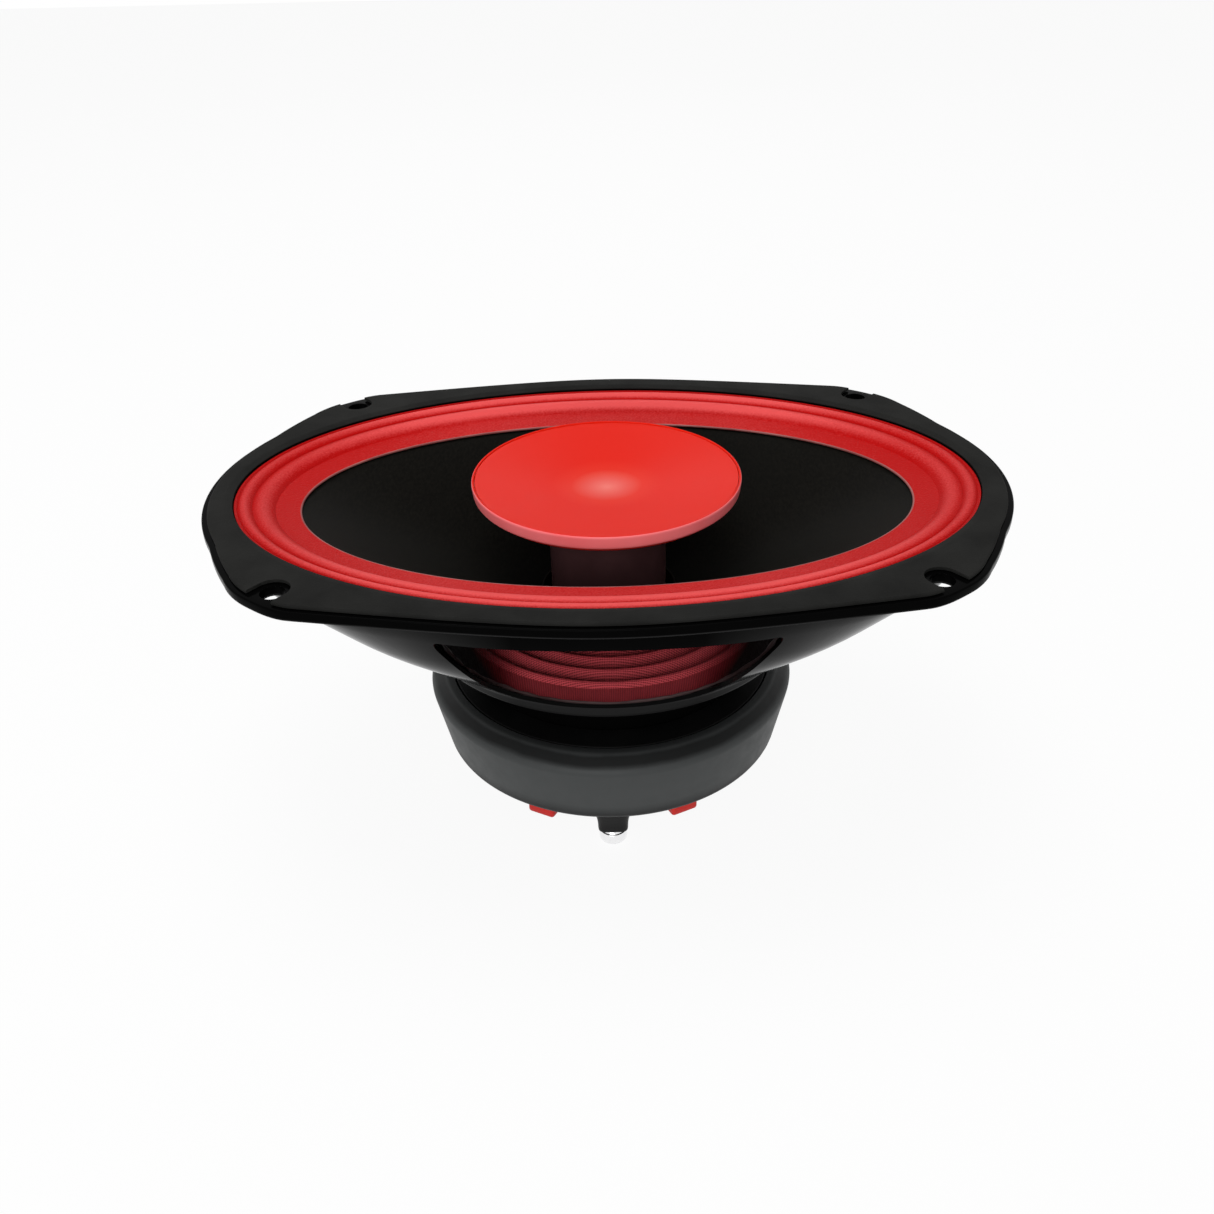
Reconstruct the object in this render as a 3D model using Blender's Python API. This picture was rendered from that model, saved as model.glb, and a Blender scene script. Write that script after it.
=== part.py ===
# Oval coaxial car speaker, six by nine inches, built as separate pieces.
# Sizes are in millimetres and MM turns them into metres. The origin is the centre of the
# mounting plane, the underside of the basket's flange, and +Z points out of the cone's mouth.

import math

import bmesh
import bpy
from mathutils import Matrix, Vector

MM = 0.001
GAP = 0.3  # room left between pieces that touch
CUT_ROOM = 2.0  # how far a cutter passes the wall it cuts

# Flange outline: one quadrant, mirrored four ways
FLANGE_HALF_LENGTH = 118.5
FLANGE_HALF_WIDTH = 82.5
END_ARC_RADIUS = 73.0
END_ARC_TOP = 36.0  # height where the end arc meets the straight slant
SHOULDER = Vector((97.3, 60.4))  # slant meets corner chamfer
CORNER = Vector((84.0, 70.8))  # corner chamfer meets the long side
CORNER_ROUND = 7.0
SIDE_ROUND = 30.0  # the long sides are nearly straight beyond this distance from the middle
END_STEPS = 3
SIDE_STEPS = 5
FLANGE_THICK = 1.0  # of the shelf that carries the surround
RIM_TOP_Z = 2.8  # raised outer rim that carries the gasket
SCREW_HOLE = Vector((85.3, 62.0))
SCREW_HOLE_DIAMETER = 6.6
NOTCH_WIDTH = 9.6
NOTCH_REACH = 20.0
NOTCH_STEPS = 6

# Gasket ring and the oval mouth inside it
GASKET_TOP = 4.0
GASKET_CHAMFER = 0.3
GASKET_INSET = 0.4
GASKET_EDGE = 0.3  # height of the plain edge round the mouth
MOUTH = (110.0, 73.2)  # half length and half width of the opening in the gasket
MOUTH_CHAMFER = 2.4

# Basket bowl: oval at the top, round at the spider ledge
BOWL_MOUTH = (103.2, 65.7)  # oval edge of the flange's opening
BOWL_TOP = (104.2, 66.7)
BOWL_TOP_Z = -0.1
BOWL_SHOULDER = (101.5, 66.0)
BOWL_SHOULDER_Z = -8.5
BOWL_WAIST = (77.5, 61.6)
BOWL_WAIST_Z = -24.5
BOWL_SQUARENESS = 2.9  # 2 is an ellipse, more is fuller at the corners
WALL = 1.6
WALL_DROP = 0.4  # the outer face of the wall lies this much lower
LEDGE_EASE = 1.0
LEDGE_RADIUS = 57.5
LEDGE_Z = -39.5
CUP_RADIUS = 48.5
CUP_FOOT_RADIUS = 43.0
BASE_Z = -56.0
BASE_HOLE_RADIUS = 23.2
WINDOW_TOP_Z = -11.9
WINDOW_SAG = 2.3  # the long windows' top edge hangs this much lower in the middle
WINDOW_SAG_STEPS = 4
WINDOW_FOOT_Z = -37.6
SIDE_WINDOW = (47.0, 31.0)  # half width at the top and at the foot, long sides
SIDE_REACH = (45.0, 95.0)  # where the cutter starts and ends, from the axis
END_WINDOW = (24.0, 17.0)  # the same for the two ends
END_REACH = (52.0, 125.0)
WINDOW_ROUND = 5.0

# Surround: two rolls and a flap, between the mouth and the cone's black face
FLAP_END = (91.6, 54.4)
FLAP_END_Z = -1.9
SURROUND_THICK = 0.6
LIP_Z = FLANGE_THICK + GAP + SURROUND_THICK
LIP_SHARE = 0.06  # shares count inwards across the surround's width
ROLLS = ((LIP_SHARE, 0.25, 2.9), (0.25, 0.60, 2.6))  # start share, end share, crest height
ROLL_FEET_Z = (LIP_Z, 1.9, -0.2)
ROLL_STEPS = 4

# Moving assembly of the low driver
CONE_THICK = 0.9
CONE_START = 0.74  # share where the cone's edge lies under the flap
CONE_CURVE = 1.12
CONE_STEPS = 4
FORMER_RADIUS = 20.5  # inside of the voice coil former
FORMER_THICK = 0.5
CONE_NECK_Z = -34.0
FORMER_TOP_Z = -33.0
FORMER_FOOT_Z = -71.0
COIL_THICK = 0.7
COIL_TOP_Z = -55.0
COIL_FOOT_Z = -70.0

# Spider
SPIDER_WAVES = 4
SPIDER_WAVE_HEIGHT = 1.4
SPIDER_THICK = 0.6
SPIDER_RADIUS = 55.5
SPIDER_LAND = 48.8  # inner edge of the flat glue land
SPIDER_COLLAR = 24.0
WAVE_STEPS = 4

# Motor
PLATE_TOP_Z = BASE_Z - WALL - GAP
PLATE_THICK = 6.0
PLATE_RADIUS = 50.8
PLATE_BORE = 22.6
MAGNET_RADIUS = 52.0
MAGNET_BORE = 27.0
MAGNET_THICK = 16.0
BACK_PLATE_RADIUS = 50.0
BACK_PLATE_THICK = 5.0
POLE_RADIUS = 19.8
POLE_TOP_Z = -57.0
POLE_EASE = 0.6
BACK_PLATE_EASE = 1.0
VENT_RADIUS = 3.6
BOOT_RADIUS = 58.2
BOOT_FOOT_RADIUS = 54.2
BOOT_ROOM = 0.4  # clearance round the plates
BOOT_TOP_WIDTH = 1.1  # flat top outside the magnet
BOOT_SHOULDER = (0.6, 3.2)  # how far in and down the sloped rim ends
BOOT_CHEEK = 4.6  # how far down the widest part is
BOOT_FOOT_EASE = (1.0, 1.2)
BOOT_HEM = 2.0  # how far the boot covers the back plate
RIVET_CIRCLE = 33.0
RIVET_HEAD_RADIUS = 4.2
RIVET_HEAD_HEIGHT = 1.6
RIVET_CROWN = (0.6, 1.3)  # share of the radius and height where the crown starts
RIVET_TAIL_ROOM = 0.6
RIVET_RADIUS = 2.0
RIVET_COUNT = 4

# Coaxial high driver on its post
POST_RADIUS = 17.8
POST_BORE = 11.5
POST_SOCKET = 13.8
POST_SOCKET_Z = -20.3
POST_TOP_Z = -9.0
POST_FLOOR = 5.0
DISH_RADIUS = 40.2
DISH_RIM_Z = 5.2
DISH_RIM = 1.7  # width of the raised rim
DISH_RIM_EASE = (0.5, 0.3)  # outer and inner
DISH_LIP_FOOT = (0.4, 3.7)  # how far in and down the lip ends
DISH_TURN = (2.4, 5.4)  # the same for the turn under the lip
DISH_WALL = 2.0
DISH_SEAT = 1.1  # how far the dish overhangs the post
DISH_FLOOR_WIDTH = 3.5
SHELF_Z = 2.6
SHELF_RADIUS = 35.7
SHELF_STEP = (0.5, 2.2)
DISH_FLOOR_Z = -6.7
DISH_HOLE = 12.0
DIAPHRAGM_RADIUS = 36.4
DIAPHRAGM_EDGE_Z = 4.3
DIAPHRAGM_DEPTH = 3.5
DIAPHRAGM_THICK = 0.7
DIAPHRAGM_ROUND = 9.0  # radius of the round centre of the cone
DIAPHRAGM_STATIONS = (0.0, 5.0, 10.0, 16.0, 25.0, DIAPHRAGM_RADIUS)
TWEETER_COIL = (9.0, 9.8)  # inner and outer radius
TWEETER_COIL_FOOT_Z = -13.4
TWEETER_EDGE_RISE = (1.2, 1.7, 0.8)  # inner edge, crown and outer edge
TWEETER_YOKE = (10.6, 13.2)
TWEETER_YOKE_TOP_Z = -9.6
TWEETER_YOKE_FLOOR = 3.0
TWEETER_MAGNET = (8.2, 4.0)  # radius and height
TWEETER_PLATE = (8.6, 2.4)
CAPACITOR = (6.0, 22.0)  # radius and length
CAPACITOR_EASE = 0.6

# Bolt that ties post, pole and back plate together
BOLT_RADIUS = 2.3
BOLT_EASE = 0.5
BOLT_HEAD_RADIUS = 4.6
BOLT_HEAD_HEIGHT = 3.4
WASHER_RADIUS = 8.0
WASHER_THICK = 1.0

# Brace stud and bumpers under the back plate
BRACE_Y = -44.0
BOSS_TOP = (11.6, 10.0)
BOSS_FOOT = (9.2, 8.4)
BOSS_HEIGHT = 7.5
BOSS_BEVEL = 1.2
CAP_RADIUS = 4.3
CAP_HEIGHT = 4.6
CAP_EASE = (0.5, 0.8)  # upper and lower edge
STUD_RADIUS = 1.6
STUD_DEPTH = 3.0  # how far the stud goes into the back plate
BUMPER_ANGLE = 27.0  # degrees either side of the brace
BUMPER_CENTRE = 45.6
BUMPER_SIZE = (9.0, 7.0, 3.8)
BUMPER_BEVEL = 1.1

# Terminals on a tab at the back of the spider ledge
TAB_SIZE = (22.0, 14.0)
TAB_Y = 64.0
TAB_INSET = 0.05  # keeps the tab's faces off the ledge's
BOARD_SIZE = (34.0, 15.0, 1.6)
BOARD_Y = 69.0
TERMINAL_RIVET_Y = 66.0
TERMINAL_RIVET_HEAD = (3.2, 0.9)  # radius and height
TERMINAL_RIVET_CROWN = 2.2
TERMINAL_X = 9.5
TERMINAL_THICK = 0.8
TERMINAL_LENGTH = 22.0
TERMINAL_INSET = 1.0
TERMINAL_BEVEL = 0.25
TERMINAL_WIDTHS = {"positive_terminal": 6.3, "negative_terminal": 4.8}
LEAD_RADIUS = 0.7
LEAD_ROOT = 3.5  # from the board's inner edge
LEAD_CONE_Y = 38.0
LEAD_STANDOFF = 2.2
LEAD_PULLS = (Vector((0.0, -9.0, 2.0)), Vector((0.0, 3.0, -14.0)))
LEAD_STEPS = 14


# Scene and materials


def clear_scene():
    for obj in list(bpy.data.objects):
        bpy.data.objects.remove(obj, do_unlink=True)


def finish(name, colour, roughness, metallic=0.0):
    mat = bpy.data.materials.new(name)
    mat.use_nodes = True
    shader = mat.node_tree.nodes["Principled BSDF"]
    shader.inputs["Base Color"].default_value = (*colour, 1.0)
    shader.inputs["Roughness"].default_value = roughness
    shader.inputs["Metallic"].default_value = metallic
    return mat


def make_finishes():
    return {
        "basket_black": finish("basket_black", (0.012, 0.012, 0.012), 0.22),
        "plate_black": finish("plate_black", (0.012, 0.012, 0.012), 0.4),
        "gasket_grey": finish("gasket_grey", (0.026, 0.026, 0.025), 0.75),
        "red_cloth": finish("red_cloth", (0.55, 0.03, 0.03), 0.8),
        "spider_red": finish("spider_red", (0.30, 0.03, 0.04), 0.85),
        "cone_black": finish("cone_black", (0.006, 0.006, 0.006), 0.6),
        "dish_red": finish("dish_red", (0.75, 0.045, 0.025), 0.38),
        "post_black": finish("post_black", (0.02, 0.012, 0.012), 0.35),
        "boot_rubber": finish("boot_rubber", (0.06, 0.064, 0.064), 0.6),
        "ferrite": finish("ferrite", (0.05, 0.05, 0.055), 0.7),
        "plated_steel": finish("plated_steel", (0.42, 0.42, 0.40), 0.35, 1.0),
        "polished_steel": finish("polished_steel", (0.75, 0.75, 0.76), 0.12, 1.0),
        "kapton_brown": finish("kapton_brown", (0.22, 0.09, 0.03), 0.4),
        "copper": finish("copper", (0.72, 0.32, 0.16), 0.3, 1.0),
        "board_tan": finish("board_tan", (0.20, 0.12, 0.06), 0.6),
        "brass": finish("brass", (0.70, 0.52, 0.22), 0.3, 1.0),
        "capacitor_sleeve": finish("capacitor_sleeve", (0.03, 0.06, 0.16), 0.4),
    }


def add_object(name, bm, mat, sharp_degrees=35):
    bmesh.ops.recalc_face_normals(bm, faces=bm.faces)
    mesh = bpy.data.meshes.new(name)
    bm.to_mesh(mesh)
    bm.free()
    mesh.shade_smooth()
    mesh.set_sharp_from_angle(angle=math.radians(sharp_degrees))
    if mat:
        mesh.materials.append(mat)
    obj = bpy.data.objects.new(name, mesh)
    bpy.context.scene.collection.objects.link(obj)
    return obj


def add_axis(name, z):
    axis = bpy.data.objects.new(name, None)
    axis.location = (0.0, 0.0, z * MM)
    bpy.context.scene.collection.objects.link(axis)
    return axis


def hang_on(axis, *pieces):
    # the pieces keep their place while the axis carries them
    for piece in pieces:
        piece.parent = axis
        piece.location = -axis.location


# Shape helpers


def ring_solid(name, rings, mat):
    # a closed chain of loops, the last joined to the first
    bm = bmesh.new()
    loops = [[bm.verts.new(Vector(p) * MM) for p in ring] for ring in rings]
    count = len(rings[0])
    for near, far in zip(loops, loops[1:] + loops[:1]):
        for i in range(count):
            j = (i + 1) % count
            bm.faces.new((near[i], near[j], far[j], far[i]))
    return add_object(name, bm, mat)


def turned(name, profile, mat, sides=32, centre=(0.0, 0.0)):
    # profile is a chain of (radius, z); one that starts and ends on the axis is left open
    bm = bmesh.new()
    verts = [bm.verts.new((r * MM, 0.0, z * MM)) for r, z in profile]
    chain = list(zip(verts, verts[1:]))
    if profile[0][0] > 0:
        chain.append((verts[-1], verts[0]))
    edges = [bm.edges.new(pair) for pair in chain]
    bmesh.ops.spin(
        bm, geom=verts + edges, cent=(0, 0, 0), axis=(0, 0, 1), angle=math.tau, steps=sides, use_merge=True
    )
    bmesh.ops.remove_doubles(bm, verts=bm.verts, dist=1e-7)
    bmesh.ops.translate(bm, verts=bm.verts, vec=Vector((*centre, 0.0)) * MM)
    return add_object(name, bm, mat)


def tube_profile(inner, outer, top, foot):
    return [(outer, top), (outer, foot), (inner, foot), (inner, top)]


def prism(name, outline, z_low, z_high, mat=None):
    bm = bmesh.new()
    base = bm.faces.new([bm.verts.new((x * MM, y * MM, z_low * MM)) for x, y in outline])
    grown = bmesh.ops.extrude_face_region(bm, geom=[base])["geom"]
    tops = [item for item in grown if isinstance(item, bmesh.types.BMVert)]
    bmesh.ops.translate(bm, verts=tops, vec=(0.0, 0.0, (z_high - z_low) * MM))
    return add_object(name, bm, mat)


def rectangle(centre_x, centre_y, width, depth):
    x, y = width / 2, depth / 2
    return [
        (centre_x + sx * x, centre_y + sy * y) for sx, sy in ((-1, -1), (1, -1), (1, 1), (-1, 1))
    ]


def bevel(obj, width, segments=2, angle_degrees=40):
    mod = obj.modifiers.new("bevel", "BEVEL")
    mod.width = width * MM
    mod.segments = segments
    mod.limit_method = "ANGLE"
    mod.angle_limit = math.radians(angle_degrees)


def boolean(obj, helper, operation="DIFFERENCE"):
    helper.hide_render = True
    helper.display_type = "WIRE"
    mod = obj.modifiers.new(helper.name, "BOOLEAN")
    mod.object = helper
    mod.operation = operation
    mod.solver = "EXACT"


def pin_cutter(name, radius, z_low, z_high, centre, sides=16):
    return turned(name, [(0, z_high), (radius, z_high), (radius, z_low), (0, z_low)], None, sides, centre)


# Oval outlines


def mixed(a, b, share):
    return a + (b - a) * share


def rounded_corner(before, corner, after, size):
    start = corner + (before - corner).normalized() * size
    end = corner + (after - corner).normalized() * size
    return [start, (start + 2 * corner + end) / 4, end]


def flange_quadrant():
    # from just past the end of the long axis to just short of the short axis
    arc_centre = FLANGE_HALF_LENGTH - END_ARC_RADIUS
    sweep = math.asin(END_ARC_TOP / END_ARC_RADIUS)
    points = []
    for step in range(1, END_STEPS + 1):
        angle = sweep * step / END_STEPS
        points.append(
            Vector((arc_centre + END_ARC_RADIUS * math.cos(angle), END_ARC_RADIUS * math.sin(angle)))
        )
    points.append((points[-1] + SHOULDER) / 2)
    points += rounded_corner(points[-1], SHOULDER, CORNER, CORNER_ROUND)
    full_drop = math.hypot(CORNER.x, SIDE_ROUND) - SIDE_ROUND
    side = []
    for step in range(SIDE_STEPS - 1, 0, -1):
        x = CORNER.x * step / SIDE_STEPS
        share = (math.hypot(x, SIDE_ROUND) - SIDE_ROUND) / full_drop
        side.append(Vector((x, mixed(FLANGE_HALF_WIDTH, CORNER.y, share))))
    return points + rounded_corner(SHOULDER, CORNER, side[0], CORNER_ROUND) + side


def flange_outline():
    first = flange_quadrant()
    second = [Vector((-p.x, p.y)) for p in reversed(first)]
    half = [Vector((FLANGE_HALF_LENGTH, 0.0))] + first + [Vector((0.0, FLANGE_HALF_WIDTH))] + second
    return half + [-p for p in half]


OUTLINE = flange_outline()
STATIONS = [math.atan2(p.y / MOUTH[1], p.x / MOUTH[0]) for p in OUTLINE]


def outline_ring(z, inset=0.0):
    scale = 1.0 - inset / FLANGE_HALF_WIDTH
    return [(p.x * scale, p.y * scale, z) for p in OUTLINE]


def oval_ring(axes, z):
    return [(axes[0] * math.cos(a), axes[1] * math.sin(a), z) for a in STATIONS]


def full_ring(axes, z, power=BOWL_SQUARENESS):
    # an oval with fuller corners than an ellipse
    ring = []
    for a in STATIONS:
        x = math.copysign(abs(math.cos(a)) ** (2 / power), math.cos(a))
        y = math.copysign(abs(math.sin(a)) ** (2 / power), math.sin(a))
        ring.append((axes[0] * x, axes[1] * y, z))
    return ring


def round_ring(radius, z):
    return oval_ring((radius, radius), z)


def grown(axes, amount):
    return (axes[0] + amount, axes[1] + amount)


def surround_axes(share):
    return (mixed(MOUTH[0], FLAP_END[0], share), mixed(MOUTH[1], FLAP_END[1], share))


def screw_spots():
    return [(sx * SCREW_HOLE.x, sy * SCREW_HOLE.y) for sx in (-1, 1) for sy in (-1, 1)]


# Basket and gasket


def window_cutter(name, half_widths, sag, turn_degrees, reach):
    top, foot = half_widths
    outline = [(-foot, WINDOW_FOOT_Z), (foot, WINDOW_FOOT_Z), (top, WINDOW_TOP_Z)]
    for step in range(1, WINDOW_SAG_STEPS):
        share = 1 - 2 * step / WINDOW_SAG_STEPS
        outline.append((top * share, WINDOW_TOP_Z - sag * (1 - share**2)))
    outline.append((-top, WINDOW_TOP_Z))
    bm = bmesh.new()
    verts = [bm.verts.new((x * MM, -reach[1] * MM, z * MM)) for x, z in outline]
    bm.faces.new(verts)
    corners = verts[:3] + verts[-1:]
    bmesh.ops.bevel(
        bm, geom=corners, offset=WINDOW_ROUND * MM, segments=3, affect="VERTICES", profile=0.5
    )
    far = bmesh.ops.extrude_face_region(bm, geom=bm.faces[:])["geom"]
    moved = [item for item in far if isinstance(item, bmesh.types.BMVert)]
    bmesh.ops.translate(bm, verts=moved, vec=(0.0, (reach[1] - reach[0]) * MM, 0.0))
    turn = Matrix.Rotation(math.radians(turn_degrees), 3, "Z")
    bmesh.ops.rotate(bm, verts=bm.verts, cent=(0, 0, 0), matrix=turn)
    return add_object(name, bm, None)


def make_basket(mats):
    bowl_inner_foot = LEDGE_Z + WALL
    rings = [
        outline_ring(0.0),
        outline_ring(RIM_TOP_Z),
        oval_ring(grown(MOUTH, GAP), RIM_TOP_Z),
        oval_ring(grown(MOUTH, GAP), FLANGE_THICK),
        oval_ring(BOWL_MOUTH, FLANGE_THICK),
        oval_ring(BOWL_MOUTH, BOWL_TOP_Z),
        full_ring(BOWL_TOP, BOWL_TOP_Z),
        full_ring(BOWL_SHOULDER, BOWL_SHOULDER_Z),
        full_ring(BOWL_WAIST, BOWL_WAIST_Z),
        round_ring(LEDGE_RADIUS, bowl_inner_foot),
        round_ring(LEDGE_RADIUS - LEDGE_EASE, LEDGE_Z),
        round_ring(CUP_RADIUS, LEDGE_Z),
        round_ring(CUP_FOOT_RADIUS, BASE_Z),
        round_ring(BASE_HOLE_RADIUS, BASE_Z),
        round_ring(BASE_HOLE_RADIUS, BASE_Z - WALL),
        round_ring(CUP_FOOT_RADIUS + WALL, BASE_Z - WALL),
        round_ring(CUP_RADIUS + WALL, LEDGE_Z - WALL),
        round_ring(LEDGE_RADIUS + WALL, LEDGE_Z - WALL),
        round_ring(LEDGE_RADIUS + WALL, bowl_inner_foot - WALL_DROP),
        full_ring(grown(BOWL_WAIST, WALL), BOWL_WAIST_Z - WALL_DROP),
        full_ring(grown(BOWL_SHOULDER, WALL), BOWL_SHOULDER_Z - WALL_DROP),
        full_ring(grown(BOWL_TOP, WALL), 0.0),
    ]
    basket = ring_solid("basket", rings, mats["basket_black"])
    for name, half_widths, sag, turn, reach in (
        ("front_window", SIDE_WINDOW, WINDOW_SAG, 0, SIDE_REACH),
        ("back_window", SIDE_WINDOW, WINDOW_SAG, 180, SIDE_REACH),
        ("right_window", END_WINDOW, 0.0, 90, END_REACH),
        ("left_window", END_WINDOW, 0.0, 270, END_REACH),
    ):
        boolean(basket, window_cutter(name, half_widths, sag, turn, reach))
    for number, spot in enumerate(screw_spots(), 1):
        low, high = -CUT_ROOM, RIM_TOP_Z + CUT_ROOM
        boolean(basket, pin_cutter(f"screw_hole_{number}", SCREW_HOLE_DIAMETER / 2, low, high, spot, 20))
    low, high = LEDGE_Z - WALL + TAB_INSET, LEDGE_Z - TAB_INSET
    boolean(basket, prism("terminal_tab", rectangle(0, TAB_Y, *TAB_SIZE), low, high), "UNION")
    low, high = LEDGE_Z - WALL - CUT_ROOM, LEDGE_Z + CUT_ROOM
    boolean(basket, pin_cutter("tab_hole", RIVET_RADIUS + GAP, low, high, (0, TERMINAL_RIVET_Y), 16))
    for number, spot in enumerate(rivet_spots(), 1):
        low, high = BASE_Z - WALL - CUT_ROOM, BASE_Z + CUT_ROOM
        boolean(basket, pin_cutter(f"base_hole_{number}", RIVET_RADIUS + GAP, low, high, spot, 12))
    return basket


def notch_cutter(number, spot):
    # an open slot from the screw hole out through the chamfered corner
    out = Vector((SHOULDER.y - CORNER.y, CORNER.x - SHOULDER.x)).normalized()
    out = Vector((math.copysign(out.x, spot[0]), math.copysign(out.y, spot[1])))
    side = Vector((-out.y, out.x)) * (NOTCH_WIDTH / 2)
    centre = Vector(spot)
    outline = [centre + out * NOTCH_REACH - side, centre + out * NOTCH_REACH + side]
    for step in range(NOTCH_STEPS + 1):
        angle = math.pi * step / NOTCH_STEPS
        outline.append(centre + side * math.cos(angle) - out * (NOTCH_WIDTH / 2) * math.sin(angle))
    return prism(f"screw_notch_{number}", [tuple(p) for p in outline], RIM_TOP_Z, GASKET_TOP + CUT_ROOM)


def make_gasket(mats):
    low = RIM_TOP_Z + GAP
    rings = [
        outline_ring(low, GASKET_INSET),
        outline_ring(GASKET_TOP - GASKET_CHAMFER, GASKET_INSET),
        outline_ring(GASKET_TOP, GASKET_INSET + GASKET_CHAMFER),
        oval_ring(grown(MOUTH, MOUTH_CHAMFER), GASKET_TOP),
        oval_ring(grown(MOUTH, GAP), low + GASKET_EDGE),
        oval_ring(grown(MOUTH, GAP), low),
    ]
    gasket = ring_solid("gasket_ring", rings, mats["gasket_grey"])
    for number, spot in enumerate(screw_spots(), 1):
        boolean(gasket, notch_cutter(number, spot))
    return gasket


# Surround, cone, voice coil and spider


def surround_profile():
    # (share, z) of the front face, from the lip inwards
    points = [(0.0, LIP_Z), (LIP_SHARE, LIP_Z)]
    for (start, end, crest), low, high in zip(ROLLS, ROLL_FEET_Z, ROLL_FEET_Z[1:]):
        rise = crest - (low + high) / 2
        for step in range(1, ROLL_STEPS + 1):
            t = step / ROLL_STEPS
            points.append((mixed(start, end, t), mixed(low, high, t) + rise * math.sin(math.pi * t)))
    points.append((1.0, FLAP_END_Z))
    return points


def make_surround(mats):
    front = surround_profile()
    rings = [oval_ring(surround_axes(share), z) for share, z in front]
    rings += [oval_ring(surround_axes(share), z - SURROUND_THICK) for share, z in reversed(front)]
    return ring_solid("surround", rings, mats["red_cloth"])


def flap_back_z(share):
    hinge = ROLLS[-1][1]
    t = (share - hinge) / (1.0 - hinge)
    return mixed(ROLL_FEET_Z[-1], FLAP_END_Z, t) - SURROUND_THICK


def cone_neck_radius():
    return FORMER_RADIUS + FORMER_THICK + GAP


def cone_front(t):
    # half axes and height of the cone's face, from the flap's end (0) to the neck (1)
    neck = cone_neck_radius()
    axes = (mixed(FLAP_END[0], neck, t), mixed(FLAP_END[1], neck, t))
    return axes, mixed(flap_back_z(1.0) - GAP, CONE_NECK_Z, t**CONE_CURVE)


def make_cone(mats):
    chain = [(surround_axes(CONE_START), flap_back_z(CONE_START) - GAP)]
    chain += [cone_front(step / CONE_STEPS) for step in range(CONE_STEPS + 1)]
    rings = [oval_ring(axes, z) for axes, z in chain]
    rings += [oval_ring(axes, z - CONE_THICK) for axes, z in reversed(chain)]
    return ring_solid("cone", rings, mats["cone_black"])


def make_voice_coil(mats):
    outer = FORMER_RADIUS + FORMER_THICK
    former = turned(
        "voice_coil_former",
        tube_profile(FORMER_RADIUS, outer, FORMER_TOP_Z, FORMER_FOOT_Z),
        mats["kapton_brown"],
    )
    coil = turned(
        "voice_coil",
        tube_profile(outer + GAP, outer + GAP + COIL_THICK, COIL_TOP_Z, COIL_FOOT_Z),
        mats["copper"],
    )
    return former, coil


def make_spider(mats):
    middle = LEDGE_Z + GAP + SPIDER_THICK
    front = [(SPIDER_RADIUS, middle)]
    count = SPIDER_WAVES * WAVE_STEPS
    for step in range(count + 1):
        radius = mixed(SPIDER_LAND, SPIDER_COLLAR, step / count)
        wave = math.sin(math.tau * step / WAVE_STEPS) * SPIDER_WAVE_HEIGHT
        front.append((radius, middle + wave))
    front.append((cone_neck_radius(), middle))
    back = [(radius, z - SPIDER_THICK) for radius, z in reversed(front)]
    return turned("spider", front + back, mats["spider_red"], 36)


# Motor


def rivet_spots():
    turns = [math.tau * (i + 0.5) / RIVET_COUNT for i in range(RIVET_COUNT)]
    return [(RIVET_CIRCLE * math.cos(a), RIVET_CIRCLE * math.sin(a)) for a in turns]


def magnet_top():
    return PLATE_TOP_Z - PLATE_THICK - GAP


def back_plate_top():
    return magnet_top() - MAGNET_THICK - GAP


def back_plate_foot():
    return back_plate_top() - BACK_PLATE_THICK


def make_motor(mats):
    plate = turned(
        "top_plate",
        tube_profile(PLATE_BORE, PLATE_RADIUS, PLATE_TOP_Z, PLATE_TOP_Z - PLATE_THICK),
        mats["plate_black"],
    )
    for number, spot in enumerate(rivet_spots(), 1):
        low, high = PLATE_TOP_Z - PLATE_THICK - CUT_ROOM, PLATE_TOP_Z + CUT_ROOM
        boolean(plate, pin_cutter(f"plate_hole_{number}", RIVET_RADIUS + GAP, low, high, spot, 12))
    magnet = turned(
        "magnet",
        tube_profile(MAGNET_BORE, MAGNET_RADIUS, magnet_top(), magnet_top() - MAGNET_THICK),
        mats["ferrite"],
    )
    top, foot = back_plate_top(), back_plate_foot()
    yoke = turned(
        "pole_and_back_plate",
        [
            (POLE_RADIUS - POLE_EASE, POLE_TOP_Z),
            (POLE_RADIUS, POLE_TOP_Z - POLE_EASE),
            (POLE_RADIUS, top),
            (BACK_PLATE_RADIUS, top),
            (BACK_PLATE_RADIUS, foot + BACK_PLATE_EASE),
            (BACK_PLATE_RADIUS - BACK_PLATE_EASE, foot),
            (VENT_RADIUS, foot),
            (VENT_RADIUS, POLE_TOP_Z),
        ],
        mats["plate_black"],
    )
    low, high = foot - CUT_ROOM, foot + STUD_DEPTH + GAP
    boolean(yoke, pin_cutter("stud_hole", STUD_RADIUS + GAP, low, high, (0, BRACE_Y), 12))
    return plate, magnet, yoke


def make_boot(mats):
    top = PLATE_TOP_Z
    lip = PLATE_RADIUS + BOOT_ROOM
    wall = MAGNET_RADIUS + GAP
    ledge = magnet_top() + GAP
    foot = back_plate_top()
    hem = BACK_PLATE_RADIUS + BOOT_ROOM
    hem_z = foot - BOOT_HEM
    shoulder_in, shoulder_down = BOOT_SHOULDER
    ease_in, ease_up = BOOT_FOOT_EASE
    profile = [
        (lip, top),
        (wall + BOOT_TOP_WIDTH, top),
        (BOOT_RADIUS - shoulder_in, top - shoulder_down),
        (BOOT_RADIUS, top - BOOT_CHEEK),
        (BOOT_FOOT_RADIUS, hem_z + ease_up),
        (BOOT_FOOT_RADIUS - ease_in, hem_z),
        (hem, hem_z),
        (hem, foot),
        (wall, foot + GAP),
        (wall, ledge),
        (lip, ledge),
    ]
    return turned("magnet_boot", profile, mats["boot_rubber"], 40)


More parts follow.
